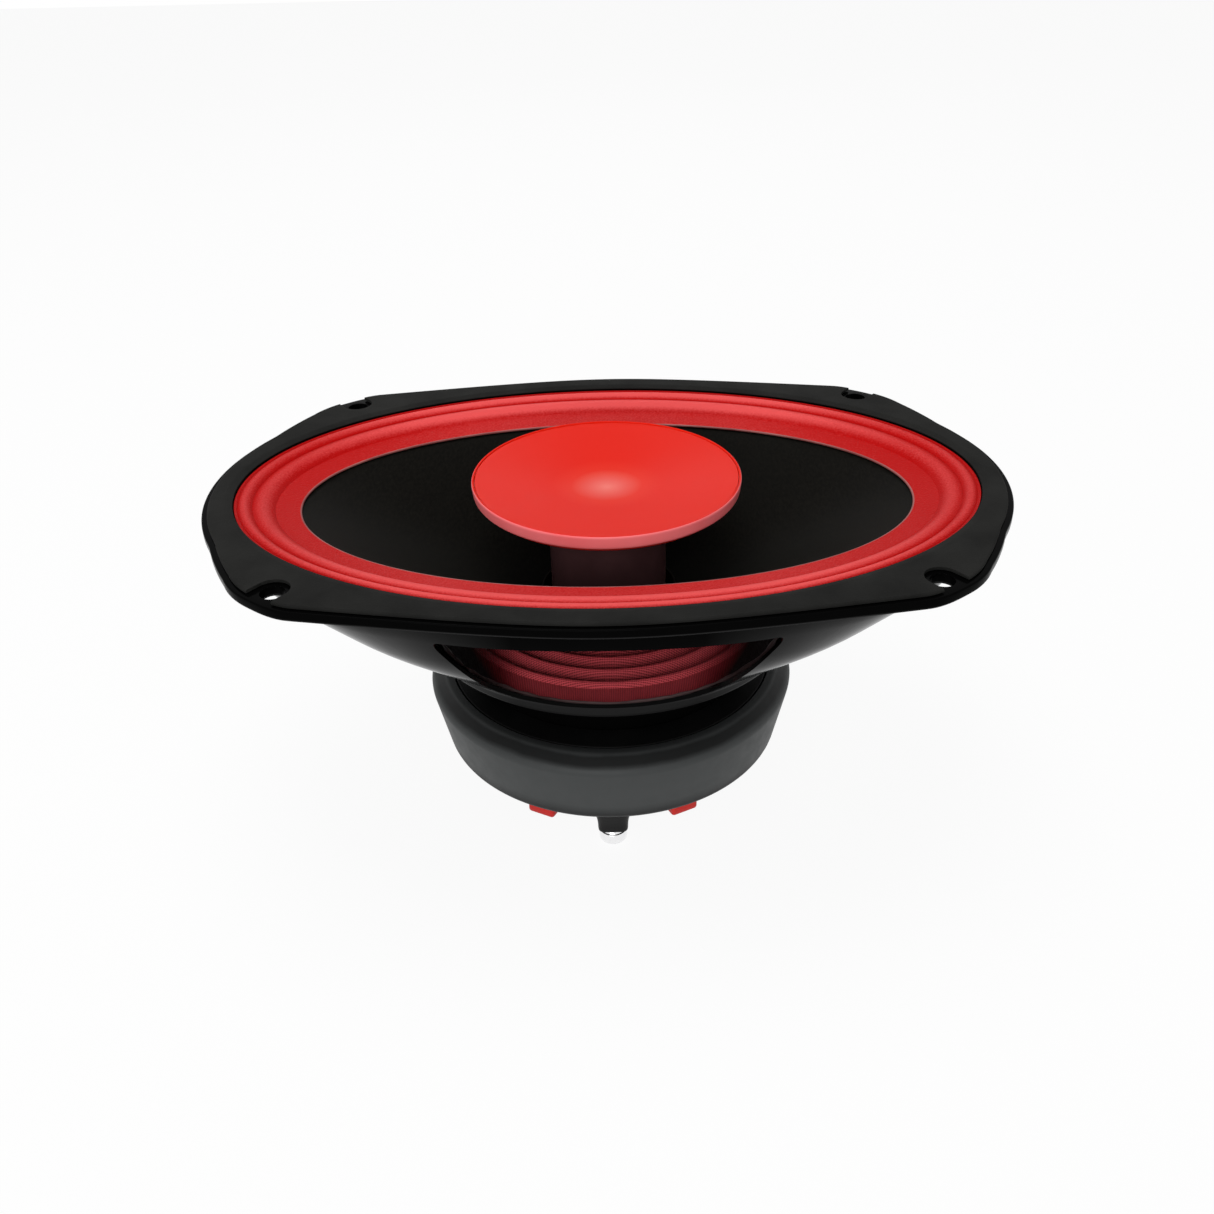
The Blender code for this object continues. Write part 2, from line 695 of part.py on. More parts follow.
def make_rivets(mats):
    head = BASE_Z + GAP
    tail = PLATE_TOP_Z - PLATE_THICK + RIVET_TAIL_ROOM
    crown_share, crown_height = RIVET_CROWN
    profile = [
        (0, head + RIVET_HEAD_HEIGHT),
        (RIVET_HEAD_RADIUS * crown_share, head + crown_height),
        (RIVET_HEAD_RADIUS, head),
        (RIVET_RADIUS, head),
        (RIVET_RADIUS, tail),
        (0, tail),
    ]
    for number, spot in enumerate(rivet_spots(), 1):
        turned(f"basket_rivet_{number}", profile, mats["plated_steel"], 16, spot)


# High driver


def make_post(mats):
    foot = POLE_TOP_Z + GAP
    floor = foot + POST_FLOOR
    hole = BOLT_RADIUS + GAP
    profile = [
        (POST_RADIUS, POST_TOP_Z),
        (POST_RADIUS, foot),
        (hole, foot),
        (hole, floor),
        (POST_BORE, floor),
        (POST_BORE, POST_SOCKET_Z),
        (POST_SOCKET, POST_SOCKET_Z),
        (POST_SOCKET, POST_TOP_Z),
    ]
    return turned("tweeter_post", profile, mats["post_black"])


def make_dish_frame(mats):
    outer_ease, inner_ease = DISH_RIM_EASE
    rim_inside = DISH_RADIUS - DISH_RIM
    under = DISH_FLOOR_Z - DISH_WALL
    profile = [
        (DISH_RADIUS, DISH_RIM_Z - outer_ease),
        (DISH_RADIUS - DISH_LIP_FOOT[0], DISH_RIM_Z - DISH_LIP_FOOT[1]),
        (DISH_RADIUS - DISH_TURN[0], DISH_RIM_Z - DISH_TURN[1]),
        (POST_RADIUS + DISH_SEAT, under),
        (DISH_HOLE, under),
        (DISH_HOLE, DISH_FLOOR_Z),
        (DISH_HOLE + DISH_FLOOR_WIDTH, DISH_FLOOR_Z),
        (SHELF_RADIUS - SHELF_STEP[0], SHELF_Z - SHELF_STEP[1]),
        (SHELF_RADIUS, SHELF_Z),
        (rim_inside, SHELF_Z),
        (rim_inside, DISH_RIM_Z - inner_ease),
        (rim_inside + inner_ease, DISH_RIM_Z),
        (DISH_RADIUS - outer_ease, DISH_RIM_Z),
    ]
    return turned("tweeter_frame", profile, mats["dish_red"], 40)


def diaphragm_z(radius):
    # a shallow cone with a round centre
    rise = math.hypot(radius, DIAPHRAGM_ROUND) - DIAPHRAGM_ROUND
    full_rise = math.hypot(DIAPHRAGM_RADIUS, DIAPHRAGM_ROUND) - DIAPHRAGM_ROUND
    return DIAPHRAGM_EDGE_Z - DIAPHRAGM_DEPTH * (1 - rise / full_rise)


def make_diaphragm(mats):
    front = [(radius, diaphragm_z(radius)) for radius in DIAPHRAGM_STATIONS]
    back = [(radius, z - DIAPHRAGM_THICK) for radius, z in reversed(front)]
    diaphragm = turned("tweeter_diaphragm", front + back, mats["dish_red"], 40)
    inner, outer = TWEETER_COIL
    coil_top = diaphragm_z(inner) - DIAPHRAGM_THICK - GAP
    coil_profile = tube_profile(inner, outer, coil_top, TWEETER_COIL_FOOT_Z)
    coil = turned("tweeter_coil", coil_profile, mats["copper"])
    return diaphragm, coil


def make_tweeter_edge(mats):
    inner, outer = DIAPHRAGM_RADIUS + GAP, DISH_RADIUS - DISH_RIM - GAP
    low = SHELF_Z + GAP
    middle = (inner + outer) / 2
    inner_rise, crown, outer_rise = TWEETER_EDGE_RISE
    profile = [
        (outer, low + outer_rise),
        (outer, low),
        (inner, low),
        (inner, low + inner_rise),
        (middle, low + crown),
    ]
    return turned("tweeter_edge", profile, mats["red_cloth"])


def make_tweeter_motor(mats):
    inner, outer = TWEETER_YOKE
    top = TWEETER_YOKE_TOP_Z
    foot = POST_SOCKET_Z + GAP
    floor = foot + TWEETER_YOKE_FLOOR
    yoke = [(0, floor), (inner, floor), (inner, top), (outer, top), (outer, foot), (0, foot)]
    turned("tweeter_yoke", yoke, mats["plated_steel"])
    low = floor + GAP
    for name, (radius, height) in (("tweeter_magnet", TWEETER_MAGNET), ("tweeter_pole_plate", TWEETER_PLATE)):
        disc = [(0, low + height), (radius, low + height), (radius, low), (0, low)]
        turned(name, disc, mats["plated_steel"])
        low += height + GAP


def make_capacitor(mats):
    foot = POLE_TOP_Z + GAP + POST_FLOOR + GAP
    radius, length = CAPACITOR
    top = foot + length
    profile = [
        (0, top),
        (radius - CAPACITOR_EASE, top),
        (radius, top - CAPACITOR_EASE),
        (radius, foot),
        (0, foot),
    ]
    return turned("crossover_capacitor", profile, mats["capacitor_sleeve"], 24)


def make_bolt(mats):
    seat = back_plate_foot() - GAP
    washer = tube_profile(BOLT_RADIUS + GAP, WASHER_RADIUS, seat, seat - WASHER_THICK)
    turned("bolt_washer", washer, mats["plated_steel"])
    head = seat - WASHER_THICK - GAP
    tip = POLE_TOP_Z + GAP + POST_FLOOR - BOLT_EASE
    profile = [
        (0, tip),
        (BOLT_RADIUS - BOLT_EASE, tip),
        (BOLT_RADIUS, tip - BOLT_EASE),
        (BOLT_RADIUS, head),
        (BOLT_HEAD_RADIUS, head),
        (BOLT_HEAD_RADIUS, head - BOLT_HEAD_HEIGHT),
        (0, head - BOLT_HEAD_HEIGHT),
    ]
    turned("post_bolt", profile, mats["plated_steel"], 6)


# Pieces under the back plate


def make_brace(mats):
    top = back_plate_foot() - GAP
    foot = top - BOSS_HEIGHT
    boss = prism("brace_boss", rectangle(0, BRACE_Y, *BOSS_FOOT), foot, top, mats["post_black"])
    for vert in boss.data.vertices:
        if vert.co.z > (foot + top) / 2 * MM:
            vert.co.x *= BOSS_TOP[0] / BOSS_FOOT[0]
            vert.co.y = BRACE_Y * MM + (vert.co.y - BRACE_Y * MM) * BOSS_TOP[1] / BOSS_FOOT[1]
    bevel(boss, BOSS_BEVEL)
    low, high = foot - CUT_ROOM, top + CUT_ROOM
    boolean(boss, pin_cutter("boss_hole", STUD_RADIUS + GAP, low, high, (0, BRACE_Y), 12))
    head = foot - GAP
    tip = head - CAP_HEIGHT
    root = back_plate_foot() + STUD_DEPTH
    upper_ease, lower_ease = CAP_EASE
    profile = [
        (0, root),
        (STUD_RADIUS, root),
        (STUD_RADIUS, head),
        (CAP_RADIUS - upper_ease, head),
        (CAP_RADIUS, head - upper_ease),
        (CAP_RADIUS, tip + lower_ease),
        (CAP_RADIUS - lower_ease, tip),
        (0, tip),
    ]
    turned("brace_stud", profile, mats["polished_steel"], 24, (0, BRACE_Y))


def make_bumpers(mats):
    top = back_plate_foot() - GAP
    width, depth, height = BUMPER_SIZE
    for name, side in (("left_bumper", -1), ("right_bumper", 1)):
        pad = prism(name, rectangle(0, -BUMPER_CENTRE, width, depth), top - height, top, mats["dish_red"])
        pad.data.transform(Matrix.Rotation(math.radians(side * BUMPER_ANGLE), 4, "Z"))
        bevel(pad, BUMPER_BEVEL)


# Terminals and leads


def make_terminals(mats):
    low = LEDGE_Z + GAP
    width, depth, thick = BOARD_SIZE
    board = prism(
        "terminal_board", rectangle(0, BOARD_Y, width, depth), low, low + thick, mats["board_tan"]
    )
    spot = (0, TERMINAL_RIVET_Y)
    cutter = pin_cutter("board_hole", RIVET_RADIUS + GAP, low - CUT_ROOM, low + thick + CUT_ROOM, spot, 16)
    boolean(board, cutter)
    head = low + thick + GAP
    tail = LEDGE_Z - WALL - GAP
    head_radius, head_height = TERMINAL_RIVET_HEAD
    rivet = [
        (0, head + head_height),
        (TERMINAL_RIVET_CROWN, head + head_height),
        (head_radius, head),
        (RIVET_RADIUS, head),
        (RIVET_RADIUS, tail),
        (head_radius, tail),
        (TERMINAL_RIVET_CROWN, tail - head_height),
        (0, tail - head_height),
    ]
    turned("terminal_rivet", rivet, mats["plated_steel"], 16, spot)
    for (name, blade), side in zip(TERMINAL_WIDTHS.items(), (1, -1)):
        start = BOARD_Y - depth / 2 + TERMINAL_INSET
        outline = rectangle(side * TERMINAL_X, start + TERMINAL_LENGTH / 2, blade, TERMINAL_LENGTH)
        tab = prism(name, outline, head, head + TERMINAL_THICK, mats["brass"])
        bevel(tab, TERMINAL_BEVEL, 1)


def lead_route(side):
    # slack bow from the terminal's root to the back of the cone
    start_z = LEDGE_Z + 2 * GAP + BOARD_SIZE[2] + TERMINAL_THICK + GAP + LEAD_RADIUS
    start = Vector((side * TERMINAL_X, BOARD_Y - BOARD_SIZE[1] / 2 + LEAD_ROOT, start_z))
    t = (FLAP_END[1] - LEAD_CONE_Y) / (FLAP_END[1] - cone_neck_radius())
    end_z = cone_front(t)[1] - CONE_THICK - GAP - LEAD_RADIUS - LEAD_STANDOFF
    end = Vector((side * TERMINAL_X, LEAD_CONE_Y, end_z))
    first, second = start + LEAD_PULLS[0], end + LEAD_PULLS[1]
    points = []
    for step in range(LEAD_STEPS + 1):
        u = step / LEAD_STEPS
        w = 1 - u
        points.append(start * w**3 + first * (3 * w * w * u) + second * (3 * w * u * u) + end * u**3)
    return points


def make_leads(mats):
    for name, side in (("positive_lead", 1), ("negative_lead", -1)):
        curve = bpy.data.curves.new(name, "CURVE")
        curve.dimensions = "3D"
        curve.bevel_depth = LEAD_RADIUS * MM
        curve.bevel_resolution = 2
        curve.use_fill_caps = True
        route = lead_route(side)
        spline = curve.splines.new("POLY")
        spline.points.add(len(route) - 1)
        for point, place in zip(spline.points, route):
            point.co = (*(place * MM), 1.0)
        curve.materials.append(mats["copper"])
        bpy.context.scene.collection.objects.link(bpy.data.objects.new(name, curve))


def main():
    clear_scene()
    mats = make_finishes()
    make_basket(mats)
    make_gasket(mats)
    make_surround(mats)
    cone = make_cone(mats)
    former, coil = make_voice_coil(mats)
    hang_on(add_axis("cone_slide_axis", CONE_NECK_Z), cone, former, coil)
    make_spider(mats)
    make_motor(mats)
    make_boot(mats)
    make_rivets(mats)
    make_post(mats)
    make_dish_frame(mats)
    diaphragm, tweeter_coil = make_diaphragm(mats)
    hang_on(add_axis("tweeter_slide_axis", DIAPHRAGM_EDGE_Z), diaphragm, tweeter_coil)
    make_tweeter_edge(mats)
    make_tweeter_motor(mats)
    make_capacitor(mats)
    make_bolt(mats)
    make_brace(mats)
    make_bumpers(mats)
    make_terminals(mats)
    make_leads(mats)


main()
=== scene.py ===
import math

import bmesh
import bpy
import numpy as np
from mathutils import Matrix, Vector


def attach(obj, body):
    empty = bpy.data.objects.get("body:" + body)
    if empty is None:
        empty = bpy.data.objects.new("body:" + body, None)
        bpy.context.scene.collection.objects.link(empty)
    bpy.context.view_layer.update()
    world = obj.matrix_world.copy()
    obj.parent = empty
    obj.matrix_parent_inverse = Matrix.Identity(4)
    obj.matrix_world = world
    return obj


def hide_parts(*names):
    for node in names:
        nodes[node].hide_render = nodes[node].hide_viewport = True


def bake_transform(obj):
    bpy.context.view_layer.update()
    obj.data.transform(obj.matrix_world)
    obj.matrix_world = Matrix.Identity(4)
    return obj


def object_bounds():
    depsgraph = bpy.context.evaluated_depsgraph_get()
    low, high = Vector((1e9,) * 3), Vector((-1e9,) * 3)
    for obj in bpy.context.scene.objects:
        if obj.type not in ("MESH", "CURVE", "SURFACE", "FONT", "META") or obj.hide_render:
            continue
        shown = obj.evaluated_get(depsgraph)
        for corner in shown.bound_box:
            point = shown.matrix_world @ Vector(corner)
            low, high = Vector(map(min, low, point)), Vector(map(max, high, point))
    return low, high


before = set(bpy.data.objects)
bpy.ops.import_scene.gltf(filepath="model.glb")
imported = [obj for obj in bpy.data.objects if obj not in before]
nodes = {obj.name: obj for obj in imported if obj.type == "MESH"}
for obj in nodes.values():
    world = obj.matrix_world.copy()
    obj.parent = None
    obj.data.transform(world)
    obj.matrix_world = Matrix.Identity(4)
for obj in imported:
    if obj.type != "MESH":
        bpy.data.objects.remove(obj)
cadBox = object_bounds()
mm = 0.001  # sizes below are in millimetres
gap = 0.3  # room left between pieces that touch
print("frame loaded with", len(nodes), "nodes")

# Camera, at the photograph's viewing angle
cameraLook = {
    "place": (2.81, -321.78, 156.8), "yaw": 0.5, "tilt": 58.35, "roll": -1.33,
    "lens": 35.2, "sensor": 36.0, "shift": -0.002, "near": 10.0,
}


def addCamera(look):
    bpy.ops.object.camera_add(location=Vector(look["place"]) * mm)
    camera = bpy.context.object
    turn = Matrix.Identity(3)
    for degrees, axis in ((look["yaw"], "Z"), (look["tilt"], "X"), (look["roll"], "Z")):
        turn = turn @ Matrix.Rotation(math.radians(degrees), 3, axis)
    camera.rotation_euler = turn.to_euler()
    camera.data.lens = look["lens"]
    camera.data.sensor_width = look["sensor"]
    camera.data.shift_x = look["shift"]
    camera.data.clip_start = look["near"] * mm
    bpy.context.scene.camera = camera


addCamera(cameraLook)
print("camera set")


# Materials, all on Object coordinates
def startFinish(name, sockets):
    mat = bpy.data.materials.new(name)
    mat.use_nodes = True
    for socket, value in sockets.items():
        mat.node_tree.nodes["Principled BSDF"].inputs[socket].default_value = value
    return mat, mat.node_tree


def feedShader(tree, socket, output):
    tree.links.new(output, tree.nodes["Principled BSDF"].inputs[socket])


def addNode(tree, kind, inputs=None, **settings):
    # an input is a plain value or the output of another node
    node = tree.nodes.new("ShaderNode" + kind)
    for key, value in settings.items():
        setattr(node, key, value)
    for key, value in (inputs or {}).items():
        if isinstance(value, bpy.types.NodeSocket):
            tree.links.new(value, node.inputs[key])
        else:
            node.inputs[key].default_value = value
    return node


def objectPlace(tree):
    return addNode(tree, "TexCoord").outputs["Object"]


def addNoise(tree, scale, detail=3.0, stretch=(1, 1, 1)):
    mapping = addNode(tree, "Mapping", {"Vector": objectPlace(tree), "Scale": stretch})
    inputs = {"Vector": mapping.outputs["Vector"], "Scale": scale, "Detail": detail}
    return addNode(tree, "TexNoise", inputs).outputs["Fac"]


def addSpread(tree, value, start, end, low=0.0, high=1.0):
    # low where the value is start and high where it is end
    inputs = {"Value": value, "From Min": start, "From Max": end, "To Min": low, "To Max": high}
    return addNode(tree, "MapRange", inputs).outputs["Result"]


def addHeight(tree, low, high):
    # height in millimetres, 0 at low and 1 at high
    split = addNode(tree, "SeparateXYZ", {"Vector": objectPlace(tree)})
    return addSpread(tree, split.outputs["Z"], low * mm, high * mm)


def addReach(tree, end):
    # distance from the axis in millimetres, 0 at the axis and 1 at end
    flat = addNode(tree, "VectorMath", {0: objectPlace(tree), 1: (1, 1, 0)}, operation="MULTIPLY")
    length = addNode(tree, "VectorMath", {0: flat.outputs["Vector"]}, operation="LENGTH")
    return addSpread(tree, length.outputs["Value"], 0.0, end * mm)


def addSideways(tree, lean, near, far, low=0.0, high=1.0):
    # distance to either side in millimetres, low at near and high at far; lean adds a share of the depth
    mirror = addNode(tree, "VectorMath", {0: objectPlace(tree)}, operation="ABSOLUTE")
    inputs = {0: mirror.outputs["Vector"], 1: (1, lean, 0)}
    across = addNode(tree, "VectorMath", inputs, operation="DOT_PRODUCT")
    return addSpread(tree, across.outputs["Value"], near * mm, far * mm, low, high)


def addWave(tree, scale, direction, distortion):
    inputs = {"Vector": objectPlace(tree), "Scale": scale, "Distortion": distortion, "Detail Scale": 4.0}
    wave = addNode(tree, "TexWave", inputs, wave_type="BANDS", bands_direction=direction)
    return wave.outputs["Fac"]


def rampColour(tree, factor, stops):
    ramp = addNode(tree, "ValToRGB", {"Fac": factor})
    elements = ramp.color_ramp.elements
    for element, (place, colour) in zip((elements[0], elements[1]), (stops[0], stops[-1])):
        element.position = place
        element.color = (*colour, 1)
    for place, colour in stops[1:-1]:
        elements.new(place).color = (*colour, 1)
    feedShader(tree, "Base Color", ramp.outputs["Color"])


def colourBy(tree, factor, dark, light, low=0.3, high=0.7):
    rampColour(tree, factor, ((low, dark), (high, light)))


def roughBy(tree, factor, low, high):
    feedShader(tree, "Roughness", addSpread(tree, factor, 0.0, 1.0, low, high))


def bumpBy(tree, factor, depth):
    bump = addNode(tree, "Bump", {"Height": factor, "Strength": 1.0, "Distance": depth * mm})
    feedShader(tree, "Normal", bump.outputs["Normal"])


def mixFactors(tree, first, second, operation="MULTIPLY"):
    return addNode(tree, "Math", {0: first, 1: second}, operation=operation).outputs["Value"]


def grey(shade):
    return (shade, shade, shade)


def paintedFinish(name, dark, light, roughness, level, peel=0.01, peelScale=900):
    mat, tree = startFinish(name, {"Specular IOR Level": level})
    colourBy(tree, addNoise(tree, 60), dark, light)
    roughBy(tree, addNoise(tree, 140), *roughness)
    bumpBy(tree, addNoise(tree, peelScale, 1.0), peel)
    return mat


def metalFinish(name, dark, light, roughness, scratch=0.004, stretch=(1, 1, 1)):
    mat, tree = startFinish(name, {"Metallic": 1.0})
    colourBy(tree, addNoise(tree, 300), dark, light)
    roughBy(tree, addNoise(tree, 700), *roughness)
    bumpBy(tree, addNoise(tree, 2500, 2.0, stretch), scratch)
    return mat


def clouded(tree, factor, noise, amount):
    # shifts a factor a little by noise
    inputs = {0: noise, 1: amount, 2: factor}
    return addNode(tree, "Math", inputs, operation="MULTIPLY_ADD").outputs["Value"]


def basketFinish():
    # black paint, glossier on the arms, paler low on the bowl from dust and painted reflection, with a
    # painted highlight line along the flange's lower edge
    mat, tree = startFinish("basketPaint", {})
    arms = mixFactors(tree, addSideways(tree, lean=0, near=25, far=55), addHeight(tree, low=0, high=-4))
    feedShader(tree, "Specular IOR Level", addSpread(tree, arms, 0.0, 1.0, 0.008, 0.13))
    # the paler grey low on the bowl is partly dust and partly painted reflection; the paler grey near the
    # flange's lower edge is a painted highlight line
    black, dustAndSheen, paintedHighlight = grey(0.0014), grey(0.014), grey(0.018)
    height = clouded(tree, addHeight(tree, low=-42, high=3), addNoise(tree, 120), 0.003)
    stops = (
        (0.02, black), (0.05, dustAndSheen), (0.28, dustAndSheen), (0.50, black),
        (0.931, black), (0.937, paintedHighlight), (0.943, paintedHighlight), (0.949, black),
    )
    rampColour(tree, height, stops)
    roughBy(tree, addNoise(tree, 140), 0.13, 0.20)
    bumpBy(tree, addNoise(tree, 900, 1.0), 0.010)
    return mat


def surroundFinish():
    # painted highlight on the crests and painted shade in the valleys, the highlight strongest along the
    # two long sides
    sheen = {"Sheen Weight": 0.02, "Sheen Tint": (1.0, 0.6, 0.6, 1.0)}
    sockets = {"Roughness": 0.45, "Specular IOR Level": 0.035, **sheen}
    mat, tree = startFinish("surroundCloth", sockets)
    grain = addNoise(tree, 1900, 2.0)
    crest = addNode(tree, "Attribute", attribute_name="crest")
    # painted highlight: full along the long sides, weaker at the round ends
    sides = addSideways(tree, lean=0, near=45, far=95, low=1.0, high=0.35)
    paintedHighlight = mixFactors(tree, crest.outputs["Fac"], sides)
    grainyHighlight = clouded(tree, paintedHighlight, grain, 0.5)
    # the valley colour is painted shade in the grooves, the top colour a painted highlight on the crests
    valley, flap, top = (0.40, 0.003, 0.003), (0.47, 0.004, 0.004), (0.78, 0.080, 0.080)
    rampColour(tree, grainyHighlight, ((0.1, valley), (0.4, flap), (1.2, top)))
    bumpBy(tree, grain, 0.16)
    return mat


def spiderFinish():
    # painted shadow beside the basket's arms, and painted shade toward the collar
    mat, tree = startFinish("spiderCloth", {"Roughness": 0.6, "Specular IOR Level": 0.15})
    threads = mixFactors(tree, addWave(tree, 620, "X", 0.6), addWave(tree, 620, "Y", 0.6), "ADD")
    # painted shadow: black beside the basket's arms
    sides = addSideways(tree, lean=0.46, near=41, far=54, low=1.0, high=0.0)
    # painted shade: darker toward the collar
    collar = clouded(tree, addReach(tree, end=62), addNoise(tree, 90), 0.2)
    weaveAndShade = mixFactors(tree, mixFactors(tree, threads, sides), collar)
    black, valley, top = (0.008, 0.002, 0.002), (0.22, 0.014, 0.020), (0.62, 0.075, 0.092)
    rampColour(tree, weaveAndShade, ((0.0, black), (0.3, valley), (1.0, top)))
    bumpBy(tree, threads, 0.08)
    return mat


def coneFinish():
    mat, tree = startFinish("conePulp", {"Specular IOR Level": 0.015})
    fibres = addNoise(tree, 1400, 4.0, (1, 0.35, 1))
    dark, light = (0.0030, 0.0028, 0.0022), (0.0064, 0.0058, 0.0046)
    colourBy(tree, fibres, dark, light, 0.35, 0.7)
    roughBy(tree, fibres, 0.42, 0.6)
    bumpBy(tree, fibres, 0.03)
    return mat


def bootFinish():
    # rubber, with painted shade on the sloped rim and along the foot, and a painted highlight line at the
    # rim's inner edge
    mat, tree = startFinish("bootRubber", {"Specular IOR Level": 0.16})
    shades = (
        # painted shade low at the foot and on the sloped rim; the last stop is a painted highlight at the
        # inner edge
        (0.14, 0.012), (0.20, 0.032), (0.28, 0.050), (0.45, 0.053),
        (0.86, 0.048), (0.90, 0.008), (0.95, 0.008), (0.97, 0.030),
    )
    stops = [(place, (shade * 0.94, shade, shade)) for place, shade in shades]
    height = clouded(tree, addHeight(tree, low=-84, high=-57), addNoise(tree, 90, 4.0), 0.03)
    rampColour(tree, height, stops)
    roughBy(tree, addNoise(tree, 260), 0.42, 0.6)
    bumpBy(tree, addNoise(tree, 2400, 2.0), 0.012)
    return mat


def dishFinish():
    # lacquer with a painted highlight, a paler spot at the centre
    mat, tree = startFinish("dishLacquer", {"Specular IOR Level": 0.02})
    # the paler stops near the centre are the painted highlight
    stops = (
        (0.05, (0.82, 0.17, 0.145)), (0.30, (0.79, 0.10, 0.08)),
        (0.62, (0.75, 0.024, 0.010)), (0.95, (0.73, 0.013, 0.004)),
    )
    rampColour(tree, clouded(tree, addReach(tree, end=18), addNoise(tree, 70), 0.06), stops)
    roughBy(tree, addNoise(tree, 140), 0.30, 0.36)
    bumpBy(tree, addNoise(tree, 1200, 1.0), 0.003)
    return mat


paintedLooks = {  # name, dark, light, roughness, gloss, then depth and scale of the peel
    # painted highlight: a pale grey for the bevelled edges of the basket
    "edgeHighlight": ("edgeHighlight", grey(0.040), grey(0.090), (0.25, 0.35), 0.25),
    "plate": ("plateCoat", grey(0.003), grey(0.006), (0.3, 0.45), 0.05),
    "gasket": ("gasketFoam", (0.009, 0.009, 0.0085), (0.016, 0.016, 0.015), (0.7, 0.9), 0.05, 0.05, 1800),
    "glue": ("edgeGlue", (0.20, 0.035, 0.035), (0.34, 0.12, 0.11), (0.3, 0.5), 0.2, 0.05, 1500),
    "ledgeGlue": ("ledgeGlue", (0.09, 0.050, 0.050), (0.24, 0.16, 0.16), (0.3, 0.5), 0.2, 0.05, 1500),
    # lip: a paler pink satin, partly its own finish and partly painted reflection
    "dishLip": ("lipSatinReflection", (0.92, 0.17, 0.18), (0.97, 0.23, 0.24), (0.26, 0.34), 0.1, 0.003, 1200),
    "post": ("postPlastic", (0.068, 0.029, 0.031), (0.100, 0.044, 0.046), (0.26, 0.36), 0.08, 0.004, 1500),
    "ferrite": ("ferriteGrey", (0.03, 0.03, 0.033), (0.06, 0.06, 0.065), (0.6, 0.8), 0.2, 0.03, 1500),
    "bracePlastic": ("bracePlastic", grey(0.004), grey(0.008), (0.35, 0.5), 0.14),
    "bumper": ("bumperPlastic", (0.50, 0.018, 0.014), (0.62, 0.026, 0.020), (0.35, 0.5), 0.25),
    "film": ("formerFilm", (0.004, 0.003, 0.002), (0.008, 0.006, 0.004), (0.4, 0.55), 0.02),
    "board": ("boardLaminate", (0.13, 0.075, 0.035), (0.22, 0.13, 0.065), (0.5, 0.65), 0.25, 0.02, 1600),
    "anchorGlue": ("anchorGlue", (0.010, 0.009, 0.008), (0.022, 0.020, 0.017), (0.25, 0.4), 0.3, 0.03, 800),
    "sleeve": ("capacitorSleeve", (0.02, 0.045, 0.12), (0.035, 0.07, 0.18), (0.3, 0.45), 0.3),
}
metalLooks = {  # name, dark, light, roughness, then depth and stretch of the scratches
    "zinc": ("zincSteel", (0.36, 0.36, 0.34), (0.50, 0.50, 0.47), (0.25, 0.42)),
    "chrome": ("polishedSteel", (0.84, 0.84, 0.85), (0.92, 0.92, 0.92), (0.06, 0.14), 0.001),
    "copper": ("copperWire", (0.62, 0.26, 0.13), (0.76, 0.36, 0.19), (0.25, 0.4), 0.02, (1, 1, 6)),
    "brass": ("brassPlate", (0.60, 0.44, 0.18), (0.72, 0.55, 0.25), (0.22, 0.38)),
    "solder": ("solderTin", grey(0.50), grey(0.66), (0.2, 0.4), 0.02),
    "braid": ("leadBraid", (0.66, 0.36, 0.22), (0.80, 0.52, 0.36), (0.3, 0.5), 0.03),
}
finishes = {
    "basket": basketFinish(), "surround": surroundFinish(), "spider": spiderFinish(),
    "cone": coneFinish(), "boot": bootFinish(), "dish": dishFinish(),
}
finishes.update({piece: paintedFinish(*look) for piece, look in paintedLooks.items()})
finishes.update({piece: metalFinish(*look) for piece, look in metalLooks.items()})
print("materials made")


# Shape helpers
def deselectAll():
    bpy.ops.object.select_all(action="DESELECT")


def activate(obj):
    deselectAll()
    obj.select_set(True)
    bpy.context.view_layer.objects.active = obj


def nameNew(name):
    obj = bpy.context.object
    obj.name = obj.data.name = name
    return obj


def settlePlace():
    bpy.ops.object.transform_apply(location=True, rotation=True, scale=True)


def easeCorners(path, closed=True, steps=4):
    # each entry is a point or a ring with the size of its corner round
    spots = [(np.array(spot, float), size) for spot, size in path]
    eased = []
    for i, (spot, size) in enumerate(spots):
        if size == 0 or (not closed and i in (0, len(spots) - 1)):
            eased.append(spot)
            continue
        before, after = spots[i - 1][0], spots[(i + 1) % len(spots)][0]
        start, end = stepToward(spot, before, size), stepToward(spot, after, size)
        for t in np.linspace(0, 1, steps + 1):
            eased.append(start * (1 - t) ** 2 + spot * 2 * t * (1 - t) + end * t**2)
    return eased


def stepToward(spot, other, size):
    way = other - spot
    length = np.maximum(np.linalg.norm(way, axis=-1, keepdims=True), 1e-9)
    return spot + way * np.minimum(size / length, 0.48)


def startLoop(name, points):
    # a closed chain of edges through the points
    bpy.ops.mesh.primitive_circle_add(vertices=len(points), radius=1, fill_type="NOTHING")
    obj = nameNew(name)
    for vert, point in zip(obj.data.vertices, points):
        vert.co = Vector(point) * mm
    return obj


def startEdit():
    bpy.ops.object.mode_set(mode="EDIT")
    bpy.ops.mesh.select_mode(type="VERT")
    bpy.ops.mesh.select_all(action="SELECT")


def endEdit():
    bpy.ops.object.mode_set(mode="OBJECT")


def selectParts(obj, test, faces=False):
    bpy.ops.mesh.select_mode(type="FACE" if faces else "EDGE")
    bpy.ops.mesh.select_all(action="DESELECT")
    bm = bmesh.from_edit_mesh(obj.data)
    for part in bm.faces if faces else bm.edges:
        part.select_set(test(part))
    bmesh.update_edit_mesh(obj.data)


def placeLoop(obj, loop, places):
    # sets the selected loop to new points; places tells which corner each vertex is
    bm = bmesh.from_edit_mesh(obj.data)
    fresh = {}
    for vert in bm.verts:
        if vert.select:
            index = places[tuple(vert.co)]
            vert.co = Vector(loop[index]) * mm
            fresh[tuple(vert.co)] = index
    bmesh.update_edit_mesh(obj.data)
    return fresh


